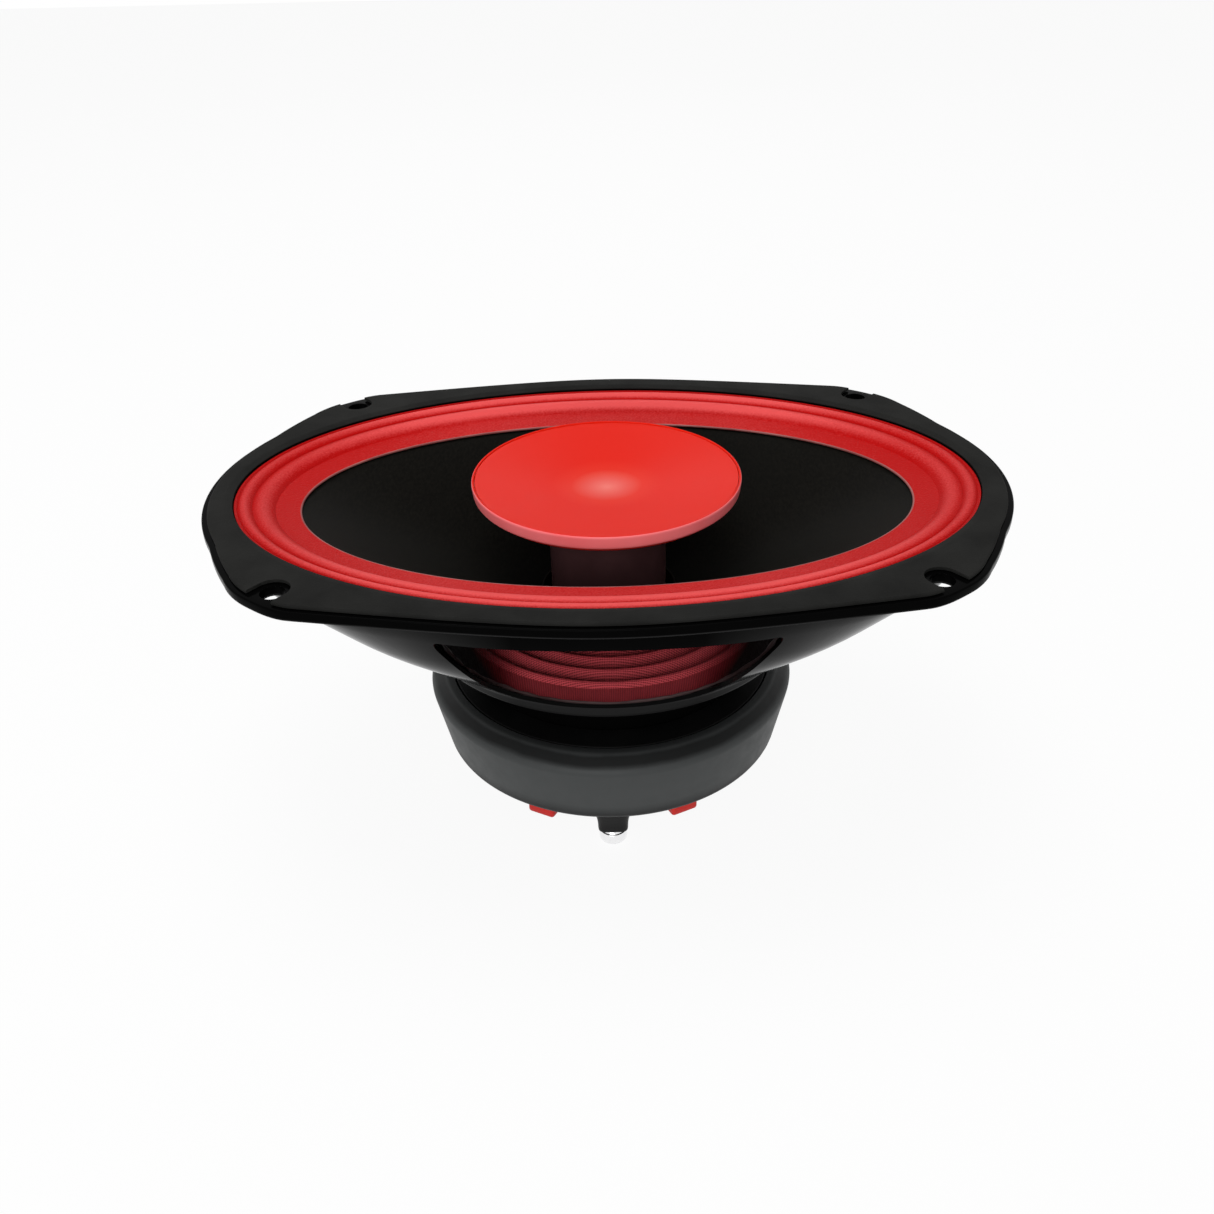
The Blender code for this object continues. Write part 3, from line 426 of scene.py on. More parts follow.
def closeUp(obj, sharpDegrees=35):
    bpy.ops.mesh.select_all(action="SELECT")
    bpy.ops.mesh.remove_doubles(threshold=1e-7)
    bpy.ops.mesh.normals_make_consistent(inside=False)
    endEdit()
    smoothPiece(obj, sharpDegrees)


def smoothPiece(obj, sharpDegrees=35):
    activate(obj)
    bpy.ops.object.shade_smooth_by_angle(angle=math.radians(sharpDegrees))


def loftPiece(name, rings):
    # extrudes one ring to the next and bridges the last to the first
    obj = startLoop(name, rings[0])
    places = {tuple(vert.co): vert.index for vert in obj.data.vertices}
    startEdit()
    for ring in rings[1:]:
        bpy.ops.mesh.extrude_region_move()
        places = placeLoop(obj, ring, places)
    bpy.ops.mesh.select_all(action="DESELECT")
    bpy.ops.mesh.select_non_manifold(
        use_wire=False, use_multi_face=False, use_non_contiguous=False, use_verts=False
    )
    bpy.ops.mesh.bridge_edge_loops()
    closeUp(obj)
    return obj


def spinPiece(name, path, sides=144, centre=(0, 0), closed=True):
    # path is a chain of (radius, z) with corner rounds; an open one starts and ends on the axis
    profile = easeCorners(path, closed)
    obj = startLoop(name, [(centre[0] + radius, centre[1], z) for radius, z in profile])
    startEdit()
    if not closed:
        ends = {0, len(profile) - 1}
        selectParts(obj, lambda edge: {vert.index for vert in edge.verts} == ends)
        bpy.ops.mesh.delete(type="EDGE_FACE")
        bpy.ops.mesh.select_all(action="SELECT")
    axis = Vector((*centre, 0)) * mm
    bpy.ops.mesh.spin(steps=sides, angle=math.tau, center=axis, axis=(0, 0, 1))
    closeUp(obj)
    return obj


def applyModifiers(obj):
    activate(obj)
    for modifier in list(obj.modifiers):
        bpy.ops.object.modifier_apply(modifier=modifier.name)


def cutAway(obj, cutters, operation="DIFFERENCE"):
    # the cutters don't touch each other, so one cut takes them all
    cutter = joinPieces("cutter", cutters)
    cut = obj.modifiers.new("cut", "BOOLEAN")
    cut.object = cutter
    cut.operation = operation
    cut.solver = "EXACT"
    applyModifiers(obj)
    bpy.data.objects.remove(cutter)


def bevelEdges(obj, width, slot=-1, sharpDegrees=40):
    # slot -1 keeps the material of the faces beside the edge
    soften = obj.modifiers.new("soften", "BEVEL")
    soften.material = slot
    soften.width = width * mm
    soften.segments = 2
    soften.limit_method = "ANGLE"
    soften.angle_limit = math.radians(sharpDegrees)
    soften.harden_normals = True
    applyModifiers(obj)


def joinPieces(name, pieces):
    deselectAll()
    for piece in pieces:
        piece.select_set(True)
    bpy.context.view_layer.objects.active = pieces[0]
    if len(pieces) > 1:
        bpy.ops.object.join()
    return nameNew(name)


def boxPiece(name, size, centre):
    bpy.ops.mesh.primitive_cube_add(size=1, location=Vector(centre) * mm)
    obj = nameNew(name)
    obj.scale = Vector(size) * mm
    settlePlace()
    return obj


def pinPiece(name, radius, low, high, centre, sides=32):
    place = Vector((centre[0], centre[1], (low + high) / 2)) * mm
    bpy.ops.mesh.primitive_cylinder_add(
        vertices=sides, radius=radius * mm, depth=(high - low) * mm, location=place
    )
    obj = nameNew(name)
    settlePlace()
    return obj


def dress(obj, finish, stands=(), body="frame"):
    obj.data.materials.clear()
    obj.data.materials.append(finishes[finish])
    if body:
        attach(obj, body)
    if stands:
        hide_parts(*stands)


def flexBetween(obj):
    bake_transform(obj)


def pointsOf(obj):
    points = np.zeros(len(obj.data.vertices) * 3)
    obj.data.vertices.foreach_get("co", points)
    return points.reshape(-1, 3) / mm


def smoothStep(value, start, end):
    t = np.clip((value - start) / (end - start), 0, 1)
    return t * t * (3 - 2 * t)


def mixed(a, b, share):
    return a + (b - a) * share


# Oval outlines, all on the same stations round the axis
flange = {
    "halfLength": 118.5, "halfWidth": 82.5, "endRadius": 73.0, "endTop": 36.0,
    "shoulder": (97.3, 60.4), "corner": (84.0, 70.8), "cornerRound": 7.0, "sideRound": 30.0,
    "cornerSpan": (74.0, 104.0), "cornerFoot": 54.0,  # where the outline gets more stations
    "endSteps": 40, "sideSteps": 60, "sideSkip": 6,  # the skipped steps leave room for the corner's round
    "thick": 0.5, "rimTop": 2.8, "screwSpot": (85.3, 62.0), "screwHole": 6.6, "holeSpan": (-2.0, 5.0),
}
mouth = (110.0, 73.2)  # opening in the gasket, half length and half width
stationCount = 240


def flangeQuadrant():
    # a round end, a cut corner and a side that bows out to the middle
    radius = flange["endRadius"]
    sweep = np.linspace(0, math.asin(flange["endTop"] / radius), flange["endSteps"])
    endCentre = flange["halfLength"] - radius
    end = [(endCentre + radius * math.cos(a), radius * math.sin(a)) for a in sweep]
    cornerX, cornerY = flange["corner"]
    sideX = np.linspace(cornerX, 0, flange["sideSteps"])
    fall = [math.hypot(x, flange["sideRound"]) - flange["sideRound"] for x in sideX]
    side = [(x, mixed(flange["halfWidth"], cornerY, drop / fall[0])) for x, drop in zip(sideX, fall)]
    path = [(point, 0) for point in end]
    path += [(flange[spot], flange["cornerRound"]) for spot in ("shoulder", "corner")]
    path += [(point, 0) for point in side[flange["sideSkip"] :]]
    return np.array(easeCorners(path, closed=False, steps=8))


quadrant = flangeQuadrant()
half = np.concatenate([quadrant, quadrant[-2::-1] * (-1, 1)])
outline = np.concatenate([half, -half[1:-1]])
cornerStart, cornerEnd = flange["cornerSpan"]
cornerStations = [
    math.atan2(y / mouth[1], x / mouth[0])
    for x, y in outline
    if cornerStart < abs(x) < cornerEnd and abs(y) > flange["cornerFoot"]
]
evenStations = np.linspace(-math.pi, math.pi, stationCount, endpoint=False)
stations = np.unique(np.round(np.concatenate([evenStations, cornerStations]), 3))


def outlineRing(z, inset=0.0):
    way = np.stack([mouth[0] * np.cos(stations), mouth[1] * np.sin(stations)], 1)
    angle = np.arctan2(way[:, 1], way[:, 0])
    around = np.arctan2(outline[:, 1], outline[:, 0])
    reach = np.interp(angle, around, np.linalg.norm(outline, axis=1), period=math.tau)
    reach = reach * (1 - inset / flange["halfWidth"])
    return np.stack([np.cos(angle) * reach, np.sin(angle) * reach, np.full_like(reach, z)], 1)


def ovalRing(axes, z, fullness=2.0, angles=stations):
    # fullness 2 is an ellipse, more is fuller at the corners
    c, s = np.cos(angles), np.sin(angles)
    reach = (np.abs(c) ** fullness + np.abs(s) ** fullness) ** (-1 / fullness)
    return np.stack([axes[0] * c * reach, axes[1] * s * reach, np.full_like(c, z)], 1)


def roundRing(radius, z):
    return ovalRing((radius, radius), z)


def grown(axes, amount):
    return (axes[0] + amount, axes[1] + amount)


def screwSpots():
    x, y = flange["screwSpot"]
    return [(sx * x, sy * y) for sx in (-1, 1) for sy in (-1, 1)]


# Basket: pressed steel, oval at the mouth and round at the ledge
basket = {
    "opening": (103.2, 65.7), "top": (104.2, 66.7), "shoulder": (101.5, 66.0), "shoulderZ": -8.5,
    "waist": (77.5, 61.6), "waistZ": -24.5, "fullness": 2.9, "wall": 1.6,
    "ledgeRadius": 57.5, "ledgeZ": -39.5, "cupRadius": 48.5, "cupFoot": 43.0,
    "baseZ": -56.0, "baseHole": 23.2, "tab": (22.0, 14.0), "tabY": 64.0, "edgeRound": 0.6,
    "windowTop": -11.9, "windowSag": 2.3, "sagSteps": 17, "windowFoot": -37.6, "windowRound": 6.0,
    "sideWindow": (47.0, 31.0), "endWindow": (24.0, 17.0),  # half width at the top and at the foot
    "sideReach": (45.0, 95.0), "endReach": (52.0, 125.0),  # where the cut starts and ends
}


def windowCutter(halfWidths, sag, turn, near, far):
    # the top edge hangs lower in the middle by sag
    top, foot = halfWidths
    b = basket
    path = [((-foot, b["windowFoot"]), b["windowRound"]), ((foot, b["windowFoot"]), b["windowRound"])]
    for share in np.linspace(1, -1, b["sagSteps"]):
        size = b["windowRound"] if abs(share) == 1 else 0
        path.append(((top * share, b["windowTop"] - sag * (1 - share**2)), size))
    shape = easeCorners(path, steps=8)
    obj = startLoop("window", [(x, -far, z) for x, z in shape])
    startEdit()
    bpy.ops.mesh.edge_face_add()
    bpy.ops.mesh.extrude_region_move(TRANSFORM_OT_translate={"value": (0, (far - near) * mm, 0)})
    closeUp(obj)
    obj.rotation_euler.z = math.radians(turn)
    settlePlace()
    return obj


def buildBasket():
    b, full = basket, basket["fullness"]
    wall, ledge = b["wall"], b["ledgeRadius"]
    bowlFoot = b["ledgeZ"] + wall
    path = [
        (outlineRing(0.0), 0.5),
        (outlineRing(flange["rimTop"]), 0.5),
        (ovalRing(grown(mouth, gap), flange["rimTop"]), 0.3),
        (ovalRing(grown(mouth, gap), flange["thick"]), 0.3),
        (ovalRing(b["opening"], flange["thick"]), 0.3),
        (ovalRing(b["opening"], -0.1), 0.2),
        (ovalRing(b["top"], -0.1, full), 0.4),
        (ovalRing(b["shoulder"], b["shoulderZ"], full), 4),
        (ovalRing(b["waist"], b["waistZ"], full), 7),
        (roundRing(ledge, bowlFoot), 1),
        (roundRing(ledge - 1, b["ledgeZ"]), 0.5),
        (roundRing(b["cupRadius"], b["ledgeZ"]), 1.2),
        (roundRing(b["cupFoot"], b["baseZ"]), 2.5),
        (roundRing(b["baseHole"], b["baseZ"]), 0.3),
        (roundRing(b["baseHole"], b["baseZ"] - wall), 0.3),
        (roundRing(b["cupFoot"] + wall, b["baseZ"] - wall), 3),
        (roundRing(b["cupRadius"] + wall, b["ledgeZ"] - wall), 2),
        (roundRing(ledge + wall, b["ledgeZ"] - wall), 0.9),
        (roundRing(ledge + wall, bowlFoot - 0.4), 0.9),
        (ovalRing(grown(b["waist"], wall), b["waistZ"] - 0.4, full), 7),
        (ovalRing(grown(b["shoulder"], wall), b["shoulderZ"] - 0.4, full), 4),
        (ovalRing(grown(b["top"], wall), 0.0, full), 2),
    ]
    obj = loftPiece("basketShell", easeCorners(path))
    tab = boxPiece("tab", (*b["tab"], wall - 0.1), (0, b["tabY"], b["ledgeZ"] - wall / 2))
    cutAway(obj, [tab], "UNION")
    cutters = [windowCutter(b["sideWindow"], b["windowSag"], turn, *b["sideReach"]) for turn in (0, 180)]
    cutters += [windowCutter(b["endWindow"], 0, turn, *b["endReach"]) for turn in (90, 270)]
    holeRadius = flange["screwHole"] / 2
    cutters += [pinPiece("screwHole", holeRadius, *flange["holeSpan"], spot, 40) for spot in screwSpots()]
    cutAway(obj, cutters)
    dress(obj, "basket", ["basket"])
    # the bevels get a second material, a painted highlight along the edges
    obj.data.materials.append(finishes["edgeHighlight"])
    bevelEdges(obj, b["edgeRound"], slot=1)
    smoothPiece(obj)


buildBasket()
print("basket built")

# Gasket ring with open notches over the screw holes
gasket = {
    "inset": 1.2, "top": 4.0, "chamfer": 0.3, "mouthChamfer": 2.4, "mouthEdge": 0.3,
    "notch": 9.6, "notchReach": 22.0, "notchSpan": (1.4, 6.2), "edgeRound": 0.15,
}


def notchCutter(spot):
    # a round pin whose outer half is pulled out through the corner
    shoulder, corner = Vector(flange["shoulder"]), Vector(flange["corner"])
    out = Vector((shoulder.y - corner.y, corner.x - shoulder.x)).normalized()
    out = Vector((math.copysign(out.x, spot[0]), math.copysign(out.y, spot[1]), 0))
    obj = pinPiece("notch", gasket["notch"] / 2, *gasket["notchSpan"], spot, 48)
    middle = Vector((*spot, 0)) * mm
    for vert in obj.data.vertices:
        if (vert.co - middle).dot(out) > 1e-6:
            vert.co += out * gasket["notchReach"] * mm
    return obj


def buildGasket():
    g = gasket
    low = flange["rimTop"] + gap
    path = [
        (outlineRing(low, g["inset"]), 0.1),
        (outlineRing(g["top"] - g["chamfer"], g["inset"]), 0.2),
        (outlineRing(g["top"], g["inset"] + g["chamfer"]), 0.3),
        (ovalRing(grown(mouth, g["mouthChamfer"]), g["top"]), 0.5),
        (ovalRing(grown(mouth, gap), low + g["mouthEdge"]), 0.1),
        (ovalRing(grown(mouth, gap), low), 0),
    ]
    obj = loftPiece("gasketRing", easeCorners(path))
    cutAway(obj, [notchCutter(spot) for spot in screwSpots()])
    bevelEdges(obj, g["edgeRound"])
    smoothPiece(obj)
    dress(obj, "gasket", ["gasket_ring"])


buildGasket()
print("gasket built")

# Surround: coated cloth with two rolls, between frame and cone
surround = {
    "flapEnd": (91.6, 54.4), "flapZ": -1.9, "flapSteps": 12, "thick": 0.6, "lipZ": 2.6, "lipEnd": 0.03,
    "rolls": ((0.05, 0.27, 2.8), (0.27, 0.62, 1.5)),  # start share, end share, crest height
    "feet": (2.2, 1.25, -0.7), "roundness": 0.85, "rollSteps": 18, "flapTone": 0.25,
    "still": 0.40, "moving": 0.74,  # shares between which the cloth gives
}


def surroundAxes(share):
    return tuple(mixed(outer, inner, share) for outer, inner in zip(mouth, surround["flapEnd"]))


def surroundFace():
    s, feet = surround, surround["feet"]
    face = [(0.0, s["lipZ"]), (s["lipEnd"], s["lipZ"])]
    for (start, end, crest), low, high in zip(s["rolls"], feet, feet[1:]):
        rise = crest - (low + high) / 2
        for t in np.linspace(0, 1, s["rollSteps"], endpoint=False):
            bulge = rise * math.sin(math.pi * t) ** s["roundness"]
            face.append((mixed(start, end, t), mixed(low, high, t) + bulge))
    hinge = s["rolls"][-1][1]
    for t in np.linspace(0, 1, s["flapSteps"]):
        face.append((mixed(hinge, 1.0, t), mixed(feet[-1], s["flapZ"], t)))
    return face


def buildSurround():
    face = surroundFace()
    rings = [ovalRing(surroundAxes(share), z) for share, z in face]
    rings += [ovalRing(surroundAxes(share), z - surround["thick"]) for share, z in reversed(face)]
    obj = loftPiece("surroundCloth", rings)
    shares = np.array([share for share, z in face])
    ringShares = np.concatenate([shares, shares[::-1]])
    # crest share, 1 on the crests: it drives the painted highlight on the crests and the painted shade in
    # the valleys
    crests = np.zeros_like(ringShares)
    for start, end, _ in surround["rolls"]:
        crests += np.sin(math.pi * np.clip((ringShares - start) / (end - start), 0, 1))
    pastCrest = ringShares > sum(surround["rolls"][-1][:2]) / 2
    crests[pastCrest] = np.maximum(crests[pastCrest], surround["flapTone"])
    tone = obj.data.attributes.new("crest", "FLOAT", "POINT")
    tone.data.foreach_set("value", np.repeat(crests, len(stations)))
    dress(obj, "surround", ["surround"], body=None)
    flexBetween(obj)


buildSurround()
print("surround built")

# Cone, its glue line and the voice coil former
cone = {
    "start": 0.74, "thick": 0.9, "neckRadius": 21.3, "neckZ": -34.0, "curve": 1.12, "steps": 28,
    "beadRadius": 0.35, "beadInset": 0.1, "beadSides": 10, "samples": 400,
}
former = {"inner": 20.5, "outer": 21.0, "top": -33.0, "foot": -71.0}


def flapBack(share):
    hinge = surround["rolls"][-1][1]
    t = (share - hinge) / (1 - hinge)
    return mixed(surround["feet"][-1], surround["flapZ"], t) - surround["thick"]


def coneFront(share):
    # half axes and height, from the edge to the neck
    axes = [mixed(edge, cone["neckRadius"], share) for edge in surround["flapEnd"]]
    return axes, mixed(flapBack(1.0) - gap, cone["neckZ"], share ** cone["curve"])


def coneBack(x, y):
    (long, wide), front = coneFront(np.linspace(0, 1, cone["samples"]))
    nearest = np.abs((x / long) ** 2 + (y / wide) ** 2 - 1).argmin()
    return front[nearest] - cone["thick"]


def buildCone():
    chain = [(surroundAxes(cone["start"]), flapBack(cone["start"]) - gap)]
    chain += [coneFront(share) for share in np.linspace(0, 1, cone["steps"])]
    rings = [ovalRing(axes, z) for axes, z in chain]
    rings += [ovalRing(axes, z - cone["thick"]) for axes, z in reversed(chain)]
    obj = loftPiece("coneBody", rings)
    dress(obj, "cone", ["cone"], body="cone_assembly")


def buildGlueBead():
    size = cone["beadRadius"]
    middle = surround["flapZ"] - surround["thick"] / 2
    rings = []
    for a in np.linspace(0, math.tau, cone["beadSides"], endpoint=False):
        axes = grown(surround["flapEnd"], size * math.cos(a) - cone["beadInset"])
        rings.append(ovalRing(axes, middle + size * math.sin(a)))
    obj = loftPiece("coneGlueBead", rings)
    dress(obj, "glue", body="cone_assembly")


def tubePiece(name, inner, outer, top, foot, ease, sides=144):
    corners = ((outer, top), (outer, foot), (inner, foot), (inner, top))
    return spinPiece(name, [(corner, ease) for corner in corners], sides)


buildCone()
buildGlueBead()
tube = tubePiece("formerTube", *former.values(), 0.1)
dress(tube, "film", ["voice_coil_former"], body="cone_assembly")
print("cone built")

# Spider: woven cloth with four waves, between ledge and former
spider = {
    "radius": 55.5, "land": 48.8, "collar": 24.0, "inner": 21.3, "frontZ": -38.6, "thick": 0.6,
    "waves": 4, "height": 1.4, "stepsPerWave": 16,
}


def buildSpider():
    s = spider
    face = [(s["radius"], s["frontZ"]), (mixed(s["radius"], s["land"], 0.5), s["frontZ"])]
    for share in np.linspace(0, 1, s["waves"] * s["stepsPerWave"] + 1):
        rise = s["height"] * math.sin(math.tau * s["waves"] * share)
        face.append((mixed(s["land"], s["collar"], share), s["frontZ"] + rise))
    face.append((s["inner"], s["frontZ"]))
    back = [(radius, z - s["thick"]) for radius, z in reversed(face)]
    obj = spinPiece("spiderCloth", [(point, 0) for point in face + back])
    radii = np.linalg.norm(pointsOf(obj)[:, :2], axis=1)
    dress(obj, "spider", ["spider"], body=None)
    flexBetween(obj)


buildSpider()
print("spider built")

# Motor: plate, magnet boot, pole and back plate
motor = {
    "plateTop": -57.9, "plateFoot": -63.9, "plateRadius": 50.8, "plateBore": 22.6,
    "backTop": -80.5, "backFoot": -85.5, "backRadius": 50.0,
    "poleRadius": 19.8, "poleTop": -57.0, "vent": 3.6,
}
boot = {
    "lip": 51.2, "hem": 50.4, "wall": 52.3, "radius": 58.2, "foot": 54.2,
    "rimStart": 53.4, "slopeEnd": 57.6, "slopeDrop": 3.2, "rimDrop": 4.6,  # sloped rim
    "footDrop": 0.8, "hemDrop": 2.0, "hemRound": 1.0,
}


def buildMotor():
    m = motor
    obj = tubePiece("topPlate", m["plateBore"], m["plateRadius"], m["plateTop"], m["plateFoot"], 0.5)
    dress(obj, "plate", ["top_plate"])
    path = [
        ((m["poleRadius"], m["poleTop"]), 0.8), ((m["poleRadius"], m["backTop"]), 0.5),
        ((m["backRadius"], m["backTop"]), 0.4), ((m["backRadius"], m["backFoot"]), 1.2),
        ((m["vent"], m["backFoot"]), 0.8), ((m["vent"], m["poleTop"]), 0.5),
    ]
    obj = spinPiece("backPlate", path)
    dress(obj, "plate", ["pole_and_back_plate"])


def buildBoot():
    b, top, foot = boot, motor["plateTop"], motor["backTop"]
    hem, inside = foot - b["hemDrop"], motor["plateFoot"]
    path = [
        ((b["lip"], top), 0.3), ((b["rimStart"], top), 0.6), ((b["slopeEnd"], top - b["slopeDrop"]), 1.2),
        ((b["radius"], top - b["rimDrop"]), 1.0), ((b["foot"], foot - b["footDrop"]), 0.8),
        ((b["foot"] - b["hemRound"], hem), 0.6), ((b["hem"], hem), 0.3), ((b["hem"], foot), 0),
        ((b["wall"], foot + gap), 0), ((b["wall"], inside), 0), ((b["lip"], inside), 0),
    ]
    obj = spinPiece("magnetBoot", path, 180)
    dress(obj, "boot", ["magnet_boot"])


buildMotor()
buildBoot()
print("motor built")

# High driver: post, dish frame and the dish skin
post = {
    "radius": 17.8, "bore": 11.5, "socket": 13.8, "socketZ": -20.3,
    "top": -9.0, "foot": -56.7, "floor": 5.0, "boltBore": 2.7,
}
dish = {
    "radius": 40.2, "rim": 5.2, "shelf": 2.6, "shelfStart": 35.7, "lipWall": 0.85,
    "lipFoot": (0.4, 3.7), "lipBack": (2.4, 5.4),  # inset from the radius, drop from the rim
    "seat": (12.0, 18.9), "seatFoot": -8.7, "seatTop": -6.7, "bowlFoot": 15.5, "bowlTop": (35.2, 0.4),
    "satinInset": 0.8, "satinDrop": 4.2, "satinFacing": 0.5,  # faces of the lip that get its finish
    "skinRadius": 39.2, "skinEdge": 4.85, "skinDepth": 4.05, "skinSteps": 60,
    "roundCentre": 9.0, "thick": 0.5, "still": 39.2, "moving": 36.0,
}


def buildPost():
    p, floor = post, post["foot"] + post["floor"]
    path = [
        ((p["radius"], p["top"]), 0.6), ((p["radius"], p["foot"]), 0.5), ((p["boltBore"], p["foot"]), 0.2),
        ((p["boltBore"], floor), 0.2), ((p["bore"], floor), 0.5), ((p["bore"], p["socketZ"]), 0.3),
        ((p["socket"], p["socketZ"]), 0.3), ((p["socket"], p["top"]), 0.4),
    ]
    obj = spinPiece("tweeterPost", path)
    dress(obj, "post", ["tweeter_post"])


def buildDishFrame():
    d, r, top = dish, dish["radius"], dish["rim"]
    seatStart, seatEnd = d["seat"]
    lipIn = r - d["lipWall"]
    lip = ((0, 0.5, 0.4), (*d["lipFoot"], 0.5), (*d["lipBack"], 1.0))
    path = [((r - inset, top - drop), size) for inset, drop, size in lip]
    path += [
        ((seatEnd, d["seatFoot"]), 0.6), ((seatStart, d["seatFoot"]), 0.3),
        ((seatStart, d["seatTop"]), 0.3), ((d["bowlFoot"], d["seatTop"]), 1.0),
        (d["bowlTop"], 1.0), ((d["shelfStart"], d["shelf"]), 0.3),
        ((lipIn, d["shelf"]), 0.2), ((lipIn, top - 0.2), 0.15),
        ((r - 0.6, top), 0.2), ((r - 0.25, top), 0.2),
    ]
    obj = spinPiece("dishFrame", path, 180)
    dress(obj, "dish", ["tweeter_frame"])
    # the lip's outer faces get the paler pink, partly painted reflection
    obj.data.materials.append(finishes["dishLip"])
    for face in obj.data.polygons:
        reach = math.hypot(face.center.x, face.center.y) / mm
        outward = (face.normal.x * face.center.x + face.normal.y * face.center.y) / mm
        onLip = reach > r - d["satinInset"] and face.center.z > (top - d["satinDrop"]) * mm
        face.material_index = int(onLip and outward > d["satinFacing"] * r)


def dishHeight(radius):
    # a shallow cone with a round centre
    rise = math.hypot(radius, dish["roundCentre"]) - dish["roundCentre"]
    fullRise = math.hypot(dish["skinRadius"], dish["roundCentre"]) - dish["roundCentre"]
    return dish["skinEdge"] - dish["skinDepth"] * (1 - rise / fullRise)


def buildDishSkin():
    radii = np.linspace(0, dish["skinRadius"], dish["skinSteps"])
    face = [(radius, dishHeight(radius)) for radius in radii]
    back = [(radius, z - dish["thick"]) for radius, z in reversed(face)]
    obj = spinPiece("dishSkin", [(point, 0) for point in face + back], 180, closed=False)
    reach = np.linalg.norm(pointsOf(obj)[:, :2], axis=1)
    dress(obj, "dish", ["tweeter_diaphragm", "tweeter_edge"], body=None)
    flexBetween(obj)


buildPost()
buildDishFrame()
buildDishSkin()
print("high driver built")

# Brace foot and bumpers under the back plate
brace = {
    "y": -44.0, "top": (11.6, 10.0), "foot": (9.2, 8.4), "height": 7.5, "squareness": 5.0, "sides": 64,
    "waist": ((0.25, 1.0), (0.6, 0.2)),  # share of the height, growth over the foot
    "capRadius": 4.3, "capHeight": 4.6, "capNeck": 0.6, "neckHeight": 0.8,
}
bumper = {"angle": 27.0, "centre": 45.6, "size": (9.0, 7.0, 3.8), "round": 1.1}


def squareRing(size, z):
    angles = np.linspace(0, math.tau, brace["sides"], endpoint=False)
    ring = ovalRing((size[0] / 2, size[1] / 2), z, brace["squareness"], angles)
    ring[:, 1] += brace["y"]
    return ring


def buildBrace():
    top = motor["backFoot"] - gap
    foot = top - brace["height"]
    hole = (1.0, 1.0)
    path = [(squareRing(hole, top), 0), (squareRing(brace["top"], top), 0.4)]
    for share, growth in brace["waist"]:
        path.append((squareRing(grown(brace["foot"], growth), mixed(top, foot, share)), 1.5))
    path += [(squareRing(brace["foot"], foot), 0.6), (squareRing(hole, foot), 0)]
    obj = loftPiece("braceBoss", easeCorners(path))
    dress(obj, "bracePlastic", ["brace_boss"])
    capTop = foot - gap
    tip = capTop - brace["capHeight"]
    r, step = brace["capRadius"], capTop - brace["neckHeight"]
    neck = r - brace["capNeck"]
    path = [
        ((0, capTop), 0), ((neck, capTop), 0.2), ((neck, step), 0.15),
        ((r, step), 0.2), ((r, tip), 0.9), ((0, tip), 0),
    ]
    obj = spinPiece("braceStud", path, 72, (0, brace["y"]), closed=False)
    dress(obj, "chrome", ["brace_stud"])


def buildBumper(name, node, degrees):
    top = motor["backFoot"] - gap
    obj = boxPiece(name, bumper["size"], (0, -bumper["centre"], top - bumper["size"][2] / 2))
    startEdit()
    bpy.ops.mesh.bevel(offset=bumper["round"] * mm, segments=4, affect="EDGES")
    endEdit()
    obj.rotation_euler.z = math.radians(degrees)
    settlePlace()
    smoothPiece(obj)
    dress(obj, "bumper", [node])


buildBrace()
buildBumper("leftBumper", "left_bumper", -bumper["angle"])
buildBumper("rightBumper", "right_bumper", bumper["angle"])
print("brace and bumpers built")

# Terminals on a board at the back of the ledge
terminals = {
    "board": (34.0, 15.0, 1.6), "boardY": 69.0, "boardRound": 2.0, "boardFoot": -39.2,
    "rivetY": 66.0, "rivetHole": 2.3, "rivetRadius": 2.0, "rivetTail": -41.4,
    "headRadius": 3.2, "headHeight": 0.9, "edgeRound": 0.15,
}
blade = {
    "x": 9.5, "start": 62.5, "length": 22.0, "thick": 0.8, "tip": 3.0, "tipShare": 0.6,
    "hole": 0.9, "holeInset": 6.0, "edgeRound": 0.12, "positiveWidth": 6.3, "negativeWidth": 4.8,
}
lead = {
    "root": (65.0, -35.5), "end": (38.0, -21.1), "rootPull": (-9.0, 2.0), "endPull": (3.0, -14.0),
    "strands": 3, "strandRadius": 0.33, "layRadius": 0.36, "turns": 8, "steps": 120,
    "still": 0.08, "moving": 0.94,  # shares of the route between which it gives
}
blob = {
    "solderShift": -0.6, "solderSink": 0.1, "solderRadius": 2.1,
    "anchorSink": 0.25, "anchorRadius": 2.6, "slopeStep": 3.0, "sides": 32,
}


def buildBoard():
    t = terminals
    middle = t["boardFoot"] + t["board"][2] / 2
    obj = boxPiece("terminalBoard", t["board"], (0, t["boardY"], middle))
    startEdit()
    selectParts(obj, lambda edge: abs(edge.verts[0].co.z - edge.verts[1].co.z) > mm)
    bpy.ops.mesh.bevel(offset=t["boardRound"] * mm, segments=6, affect="EDGES")
    endEdit()
    cutAway(obj, [pinPiece("rivetHole", t["rivetHole"], middle - 2, middle + 2, (0, t["rivetY"]))])
    bevelEdges(obj, t["edgeRound"])
    smoothPiece(obj)
    dress(obj, "board", ["terminal_board"])


def buildTerminalRivet():
    t = terminals
    head, tail, rise = t["boardFoot"] + t["board"][2] + gap, t["rivetTail"], t["headHeight"]
    path = [
        ((0, head + rise), 0), ((t["headRadius"] - 0.6, head + rise), 0.6), ((t["headRadius"], head), 0.3),
        ((t["rivetRadius"], head), 0), ((t["rivetRadius"], tail), 0), ((t["headRadius"], tail), 0.3),
        ((t["headRadius"] - 0.8, tail - rise), 0.6), ((0, tail - rise), 0),
    ]
    obj = spinPiece("terminalRivet", path, 48, (0, t["rivetY"]), closed=False)
    dress(obj, "zinc", ["terminal_rivet"])


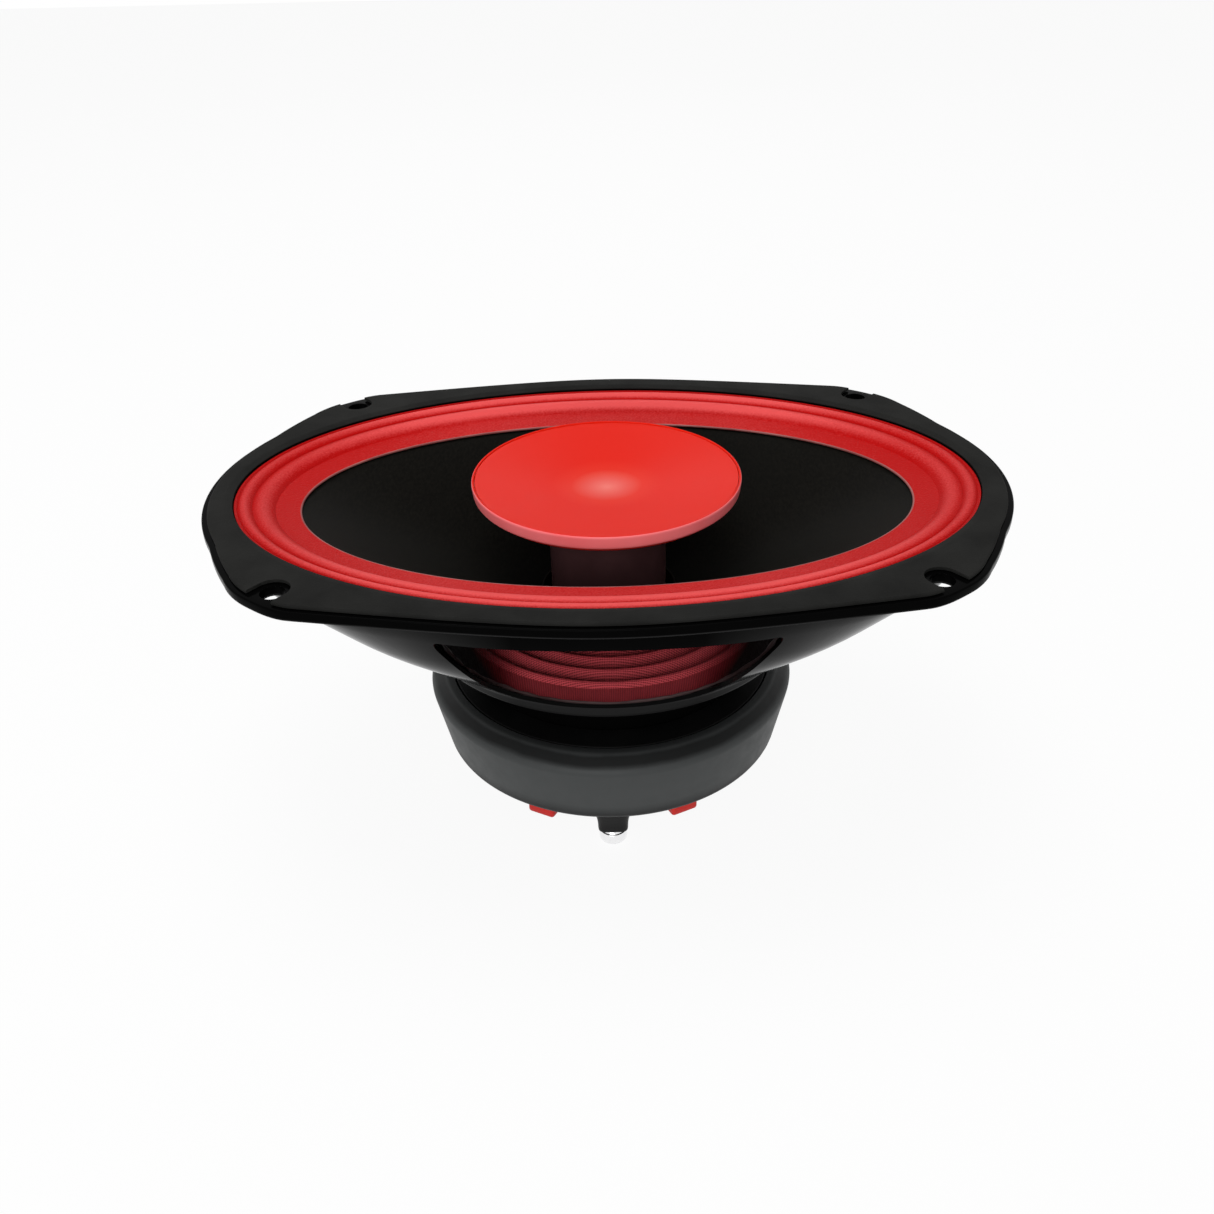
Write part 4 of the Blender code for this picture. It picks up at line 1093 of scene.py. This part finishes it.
def buildBlade(name, node, x, width):
    # a flat blade drawn out to a narrow tip
    b = blade
    foot = terminals["boardFoot"] + terminals["board"][2] + gap
    middle, end = foot + b["thick"] / 2, b["start"] + b["length"]
    straight = b["length"] - b["tip"]
    obj = boxPiece(name, (width, straight, b["thick"]), (x, b["start"] + straight / 2, middle))
    startEdit()
    selectParts(obj, lambda face: face.normal.y > 0.9, faces=True)
    bpy.ops.mesh.extrude_region_move(TRANSFORM_OT_translate={"value": (0, b["tip"] * mm, 0)})
    tip = Vector((x, end, middle)) * mm
    bpy.ops.transform.resize(value=(b["tipShare"], 1, b["tipShare"]), center_override=tip)
    endEdit()
    hole = pinPiece("bladeHole", b["hole"], foot - 1, foot + 2, (x, end - b["holeInset"]))
    cutAway(obj, [hole])
    bevelEdges(obj, b["edgeRound"])
    smoothPiece(obj)
    dress(obj, "brass", [node])


def leadRoute(x, shares):
    start, end = np.array((x, *lead["root"])), np.array((x, *lead["end"]))
    first, second = start + (0, *lead["rootPull"]), end + (0, *lead["endPull"])
    u = np.array(shares)[:, None]
    w = 1 - u
    return start * w**3 + first * 3 * w * w * u + second * 3 * w * u * u + end * u**3


def buildLead(name, node, x):
    # strands laid round each other, from terminal to cone
    shares = np.linspace(0, 1, lead["steps"])
    route = leadRoute(x, shares)
    along = np.gradient(route, axis=0)
    side = np.array((1.0, 0.0, 0.0))
    up = np.cross(along / np.linalg.norm(along, axis=1, keepdims=True), side)
    curve = bpy.data.curves.new(name, "CURVE")
    curve.dimensions = "3D"
    curve.bevel_depth = lead["strandRadius"] * mm
    curve.bevel_resolution = 2
    curve.use_fill_caps = True
    for strand in range(lead["strands"]):
        angle = math.tau * (lead["turns"] * shares + strand / lead["strands"])[:, None]
        path = route + lead["layRadius"] * (np.cos(angle) * side + np.sin(angle) * up)
        spline = curve.splines.new("POLY")
        spline.points.add(len(path) - 1)
        for point, place in zip(spline.points, path):
            point.co = (*(Vector(place) * mm), 1)
    obj = bpy.data.objects.new(name, curve)
    bpy.context.scene.collection.objects.link(obj)
    activate(obj)
    bpy.ops.object.convert(target="MESH")
    obj = bpy.context.object
    startEdit()
    closeUp(obj, sharpDegrees=60)
    away = np.linalg.norm(pointsOf(obj)[:, None] - route[None], axis=2)
    nearest = shares[away.argmin(axis=1)]
    dress(obj, "braid", [node], body=None)
    flexBetween(obj)


def buildBlobs(name, x):
    # solder at the terminal, and a cap of glue that leans with the cone
    y, z = lead["root"]
    low = z - lead["strandRadius"] - lead["layRadius"] - gap - blob["solderSink"]
    dome = [
        ((0, z + 1.0), 0), ((0.9, z + 0.9), 0.4), ((1.7, z - 0.1), 0.6),
        ((blob["solderRadius"], low), 0.1), ((0, low), 0),
    ]
    centre = (x, y + blob["solderShift"])
    obj = spinPiece(name + "Solder", dome, blob["sides"], centre, closed=False)
    dress(obj, "solder")
    y, z = lead["end"]
    top = coneBack(x, y) + blob["anchorSink"]
    cap = [
        ((0, top), 0), ((blob["anchorRadius"], top), 0.1), ((1.9, mixed(top, z, 0.4)), 0.8),
        ((1.2, z - 0.7), 0.5), ((0, z - 0.9), 0),
    ]
    obj = spinPiece(name + "Anchor", cap, blob["sides"], (x, y), closed=False)
    step = blob["slopeStep"]
    slope = (coneBack(x, y + step) - coneBack(x, y - step)) / (2 * step)
    for vert in obj.data.vertices:
        lean = smoothStep(vert.co.z / mm, z, top)
        vert.co.z += lean * slope * (vert.co.y - y * mm)
    dress(obj, "anchorGlue", body="cone_assembly")


buildBoard()
buildTerminalRivet()
poles = (("positive", blade["x"]), ("negative", -blade["x"]))
for pole, x in poles:
    buildBlade(pole + "Blade", pole + "_terminal", x, blade[pole + "Width"])
for pole, x in poles:
    buildLead(pole + "Lead", pole + "_lead", x)
    buildBlobs(pole + "Lead", x)
print("terminals and leads built")

# Bolt and washer under the back plate, glue round the spider
bolt = {
    "radius": 2.3, "tip": -52.2, "headTop": -87.1, "headFoot": -90.5, "headRadius": 4.6,
    "dimpleInset": 0.9, "dimpleDepth": 0.5, "edgeRound": 0.3, "shankSink": 0.2,
    "washer": (2.6, 8.0, -85.8, -86.8),  # bore, radius, top and foot
}
ledgeGlue = {
    "radius": 55.6, "z": -38.75, "size": 0.55, "sides": 10,
    "wobble": 0.22, "seed": 5, "waves": range(9, 60, 3), "phase": 6,
}


def buildBolt():
    b = bolt
    head = pinPiece("boltHead", b["headRadius"], b["headFoot"], b["headTop"], (0, 0), 6)
    startEdit()
    selectParts(head, lambda face: face.normal.z < -0.9, faces=True)
    bpy.ops.mesh.inset(thickness=b["dimpleInset"] * mm)
    bpy.ops.mesh.extrude_region_move(TRANSFORM_OT_translate={"value": (0, 0, b["dimpleDepth"] * mm)})
    endEdit()
    bevelEdges(head, b["edgeRound"])
    foot = b["headTop"] - b["shankSink"]
    path = [((0, b["tip"]), 0), ((b["radius"], b["tip"]), 0.5), ((b["radius"], foot), 0), ((0, foot), 0)]
    shank = spinPiece("boltShank", path, 32, closed=False)
    obj = joinPieces("postBolt", [head, shank])
    smoothPiece(obj)
    dress(obj, "zinc", ["post_bolt"])
    obj = tubePiece("boltWasher", *b["washer"], 0.25, 96)
    dress(obj, "zinc", ["bolt_washer"])


def buildLedgeGlue():
    # a bead that swells and thins by chance
    g = ledgeGlue
    draw = np.random.default_rng(g["seed"])
    around = roundRing(1, 0)
    angles = np.arctan2(around[:, 1], around[:, 0])
    wave = np.zeros_like(angles)
    for n in g["waves"]:
        wave += draw.normal() * np.sin(n * angles + draw.uniform(0, g["phase"])) / math.sqrt(n)
    swell = 1 + g["wobble"] * wave / wave.std()
    rings = []
    for a in np.linspace(0, math.tau, g["sides"], endpoint=False):
        ring = roundRing(1, g["z"])
        reach = g["radius"] + g["size"] * swell * math.cos(a)
        ring[:, :2] *= reach[:, None]
        ring[:, 2] += g["size"] * swell * math.sin(a)
        rings.append(ring)
    obj = loftPiece("ledgeGlue", rings)
    dress(obj, "ledgeGlue")


buildBolt()
buildLedgeGlue()
print("bolt and glue built")

# Finishes for the CAD pieces that stay
keptFinishes = {
    "voice_coil": "copper", "magnet": "ferrite", "tweeter_coil": "copper", "tweeter_yoke": "zinc",
    "tweeter_magnet": "ferrite", "tweeter_pole_plate": "zinc", "crossover_capacitor": "sleeve",
    **{f"basket_rivet_{number}": "zinc" for number in range(1, 5)},
}
for name, finish in keptFinishes.items():
    nodes[name].data.materials.clear()
    nodes[name].data.materials.append(finishes[finish])
print("kept pieces finished")

# Floor, lamps and world
studio = {"floorSize": 6.0, "floorDrop": 0.0002, "floorShade": 0.86, "whiteShare": 0.93, "worldLight": 0.34}
lamps = (
    {"name": "frontSoftbox", "place": (-0.25, -1.30, 0.38), "size": 0.9, "watts": 10.0},
    {"name": "topSoftbox", "place": (-0.15, 0.10, 1.20), "size": 0.8, "watts": 9.0},
    {"name": "backSoftbox", "place": (-0.05, 1.25, 0.62), "size": 0.25, "watts": 1.0},
)


def showWhite(tree, strength, light, white, out):
    # what the camera, gloss and glass see is white, and the rest gets the plain light
    path = addNode(tree, "LightPath")
    seen = mixFactors(tree, path.outputs["Is Camera Ray"], path.outputs["Is Glossy Ray"], "MAXIMUM")
    seen = mixFactors(tree, seen, path.outputs["Is Transmission Ray"], "MAXIMUM")
    share = mixFactors(tree, seen, strength)
    mix = addNode(tree, "MixShader", {"Fac": share, 1: light.outputs[0], 2: white.outputs[0]})
    addNode(tree, out, {"Surface": mix.outputs["Shader"]})


def startTree(owner):
    owner.use_nodes = True
    owner.node_tree.nodes.clear()
    return owner.node_tree


def buildFloor():
    place = (0, 0, cadBox[0][2] - studio["floorDrop"])
    bpy.ops.mesh.primitive_plane_add(size=studio["floorSize"], location=place)
    floor = bpy.context.object
    floor.name = "studioFloor"
    mat = bpy.data.materials.new("paleFloor")
    tree = startTree(mat)
    shade = addNode(tree, "BsdfDiffuse", {"Color": (*grey(studio["floorShade"]), 1)})
    white = addNode(tree, "Emission", {"Color": (1, 1, 1, 1), "Strength": 1.0})
    showWhite(tree, studio["whiteShare"], shade, white, "OutputMaterial")
    floor.data.materials.append(mat)


def addLamps():
    for lamp in lamps:
        bpy.ops.object.light_add(type="AREA", location=lamp["place"])
        light = bpy.context.object
        light.name = lamp["name"]
        light.data.energy = lamp["watts"]
        light.data.size = lamp["size"]
        light.rotation_euler = Vector(lamp["place"]).to_track_quat("Z", "Y").to_euler()


def buildWorld():
    world = bpy.data.worlds.new("studioWorld")
    tree = startTree(world)
    light = addNode(tree, "Background", {"Color": (1, 1, 1, 1), "Strength": studio["worldLight"]})
    white = addNode(tree, "Background", {"Color": (1, 1, 1, 1), "Strength": 1.0})
    showWhite(tree, 1.0, light, white, "OutputWorld")
    bpy.context.scene.world = world


buildFloor()
addLamps()
buildWorld()
bpy.context.scene.view_settings.view_transform = "Standard"
print("studio set")
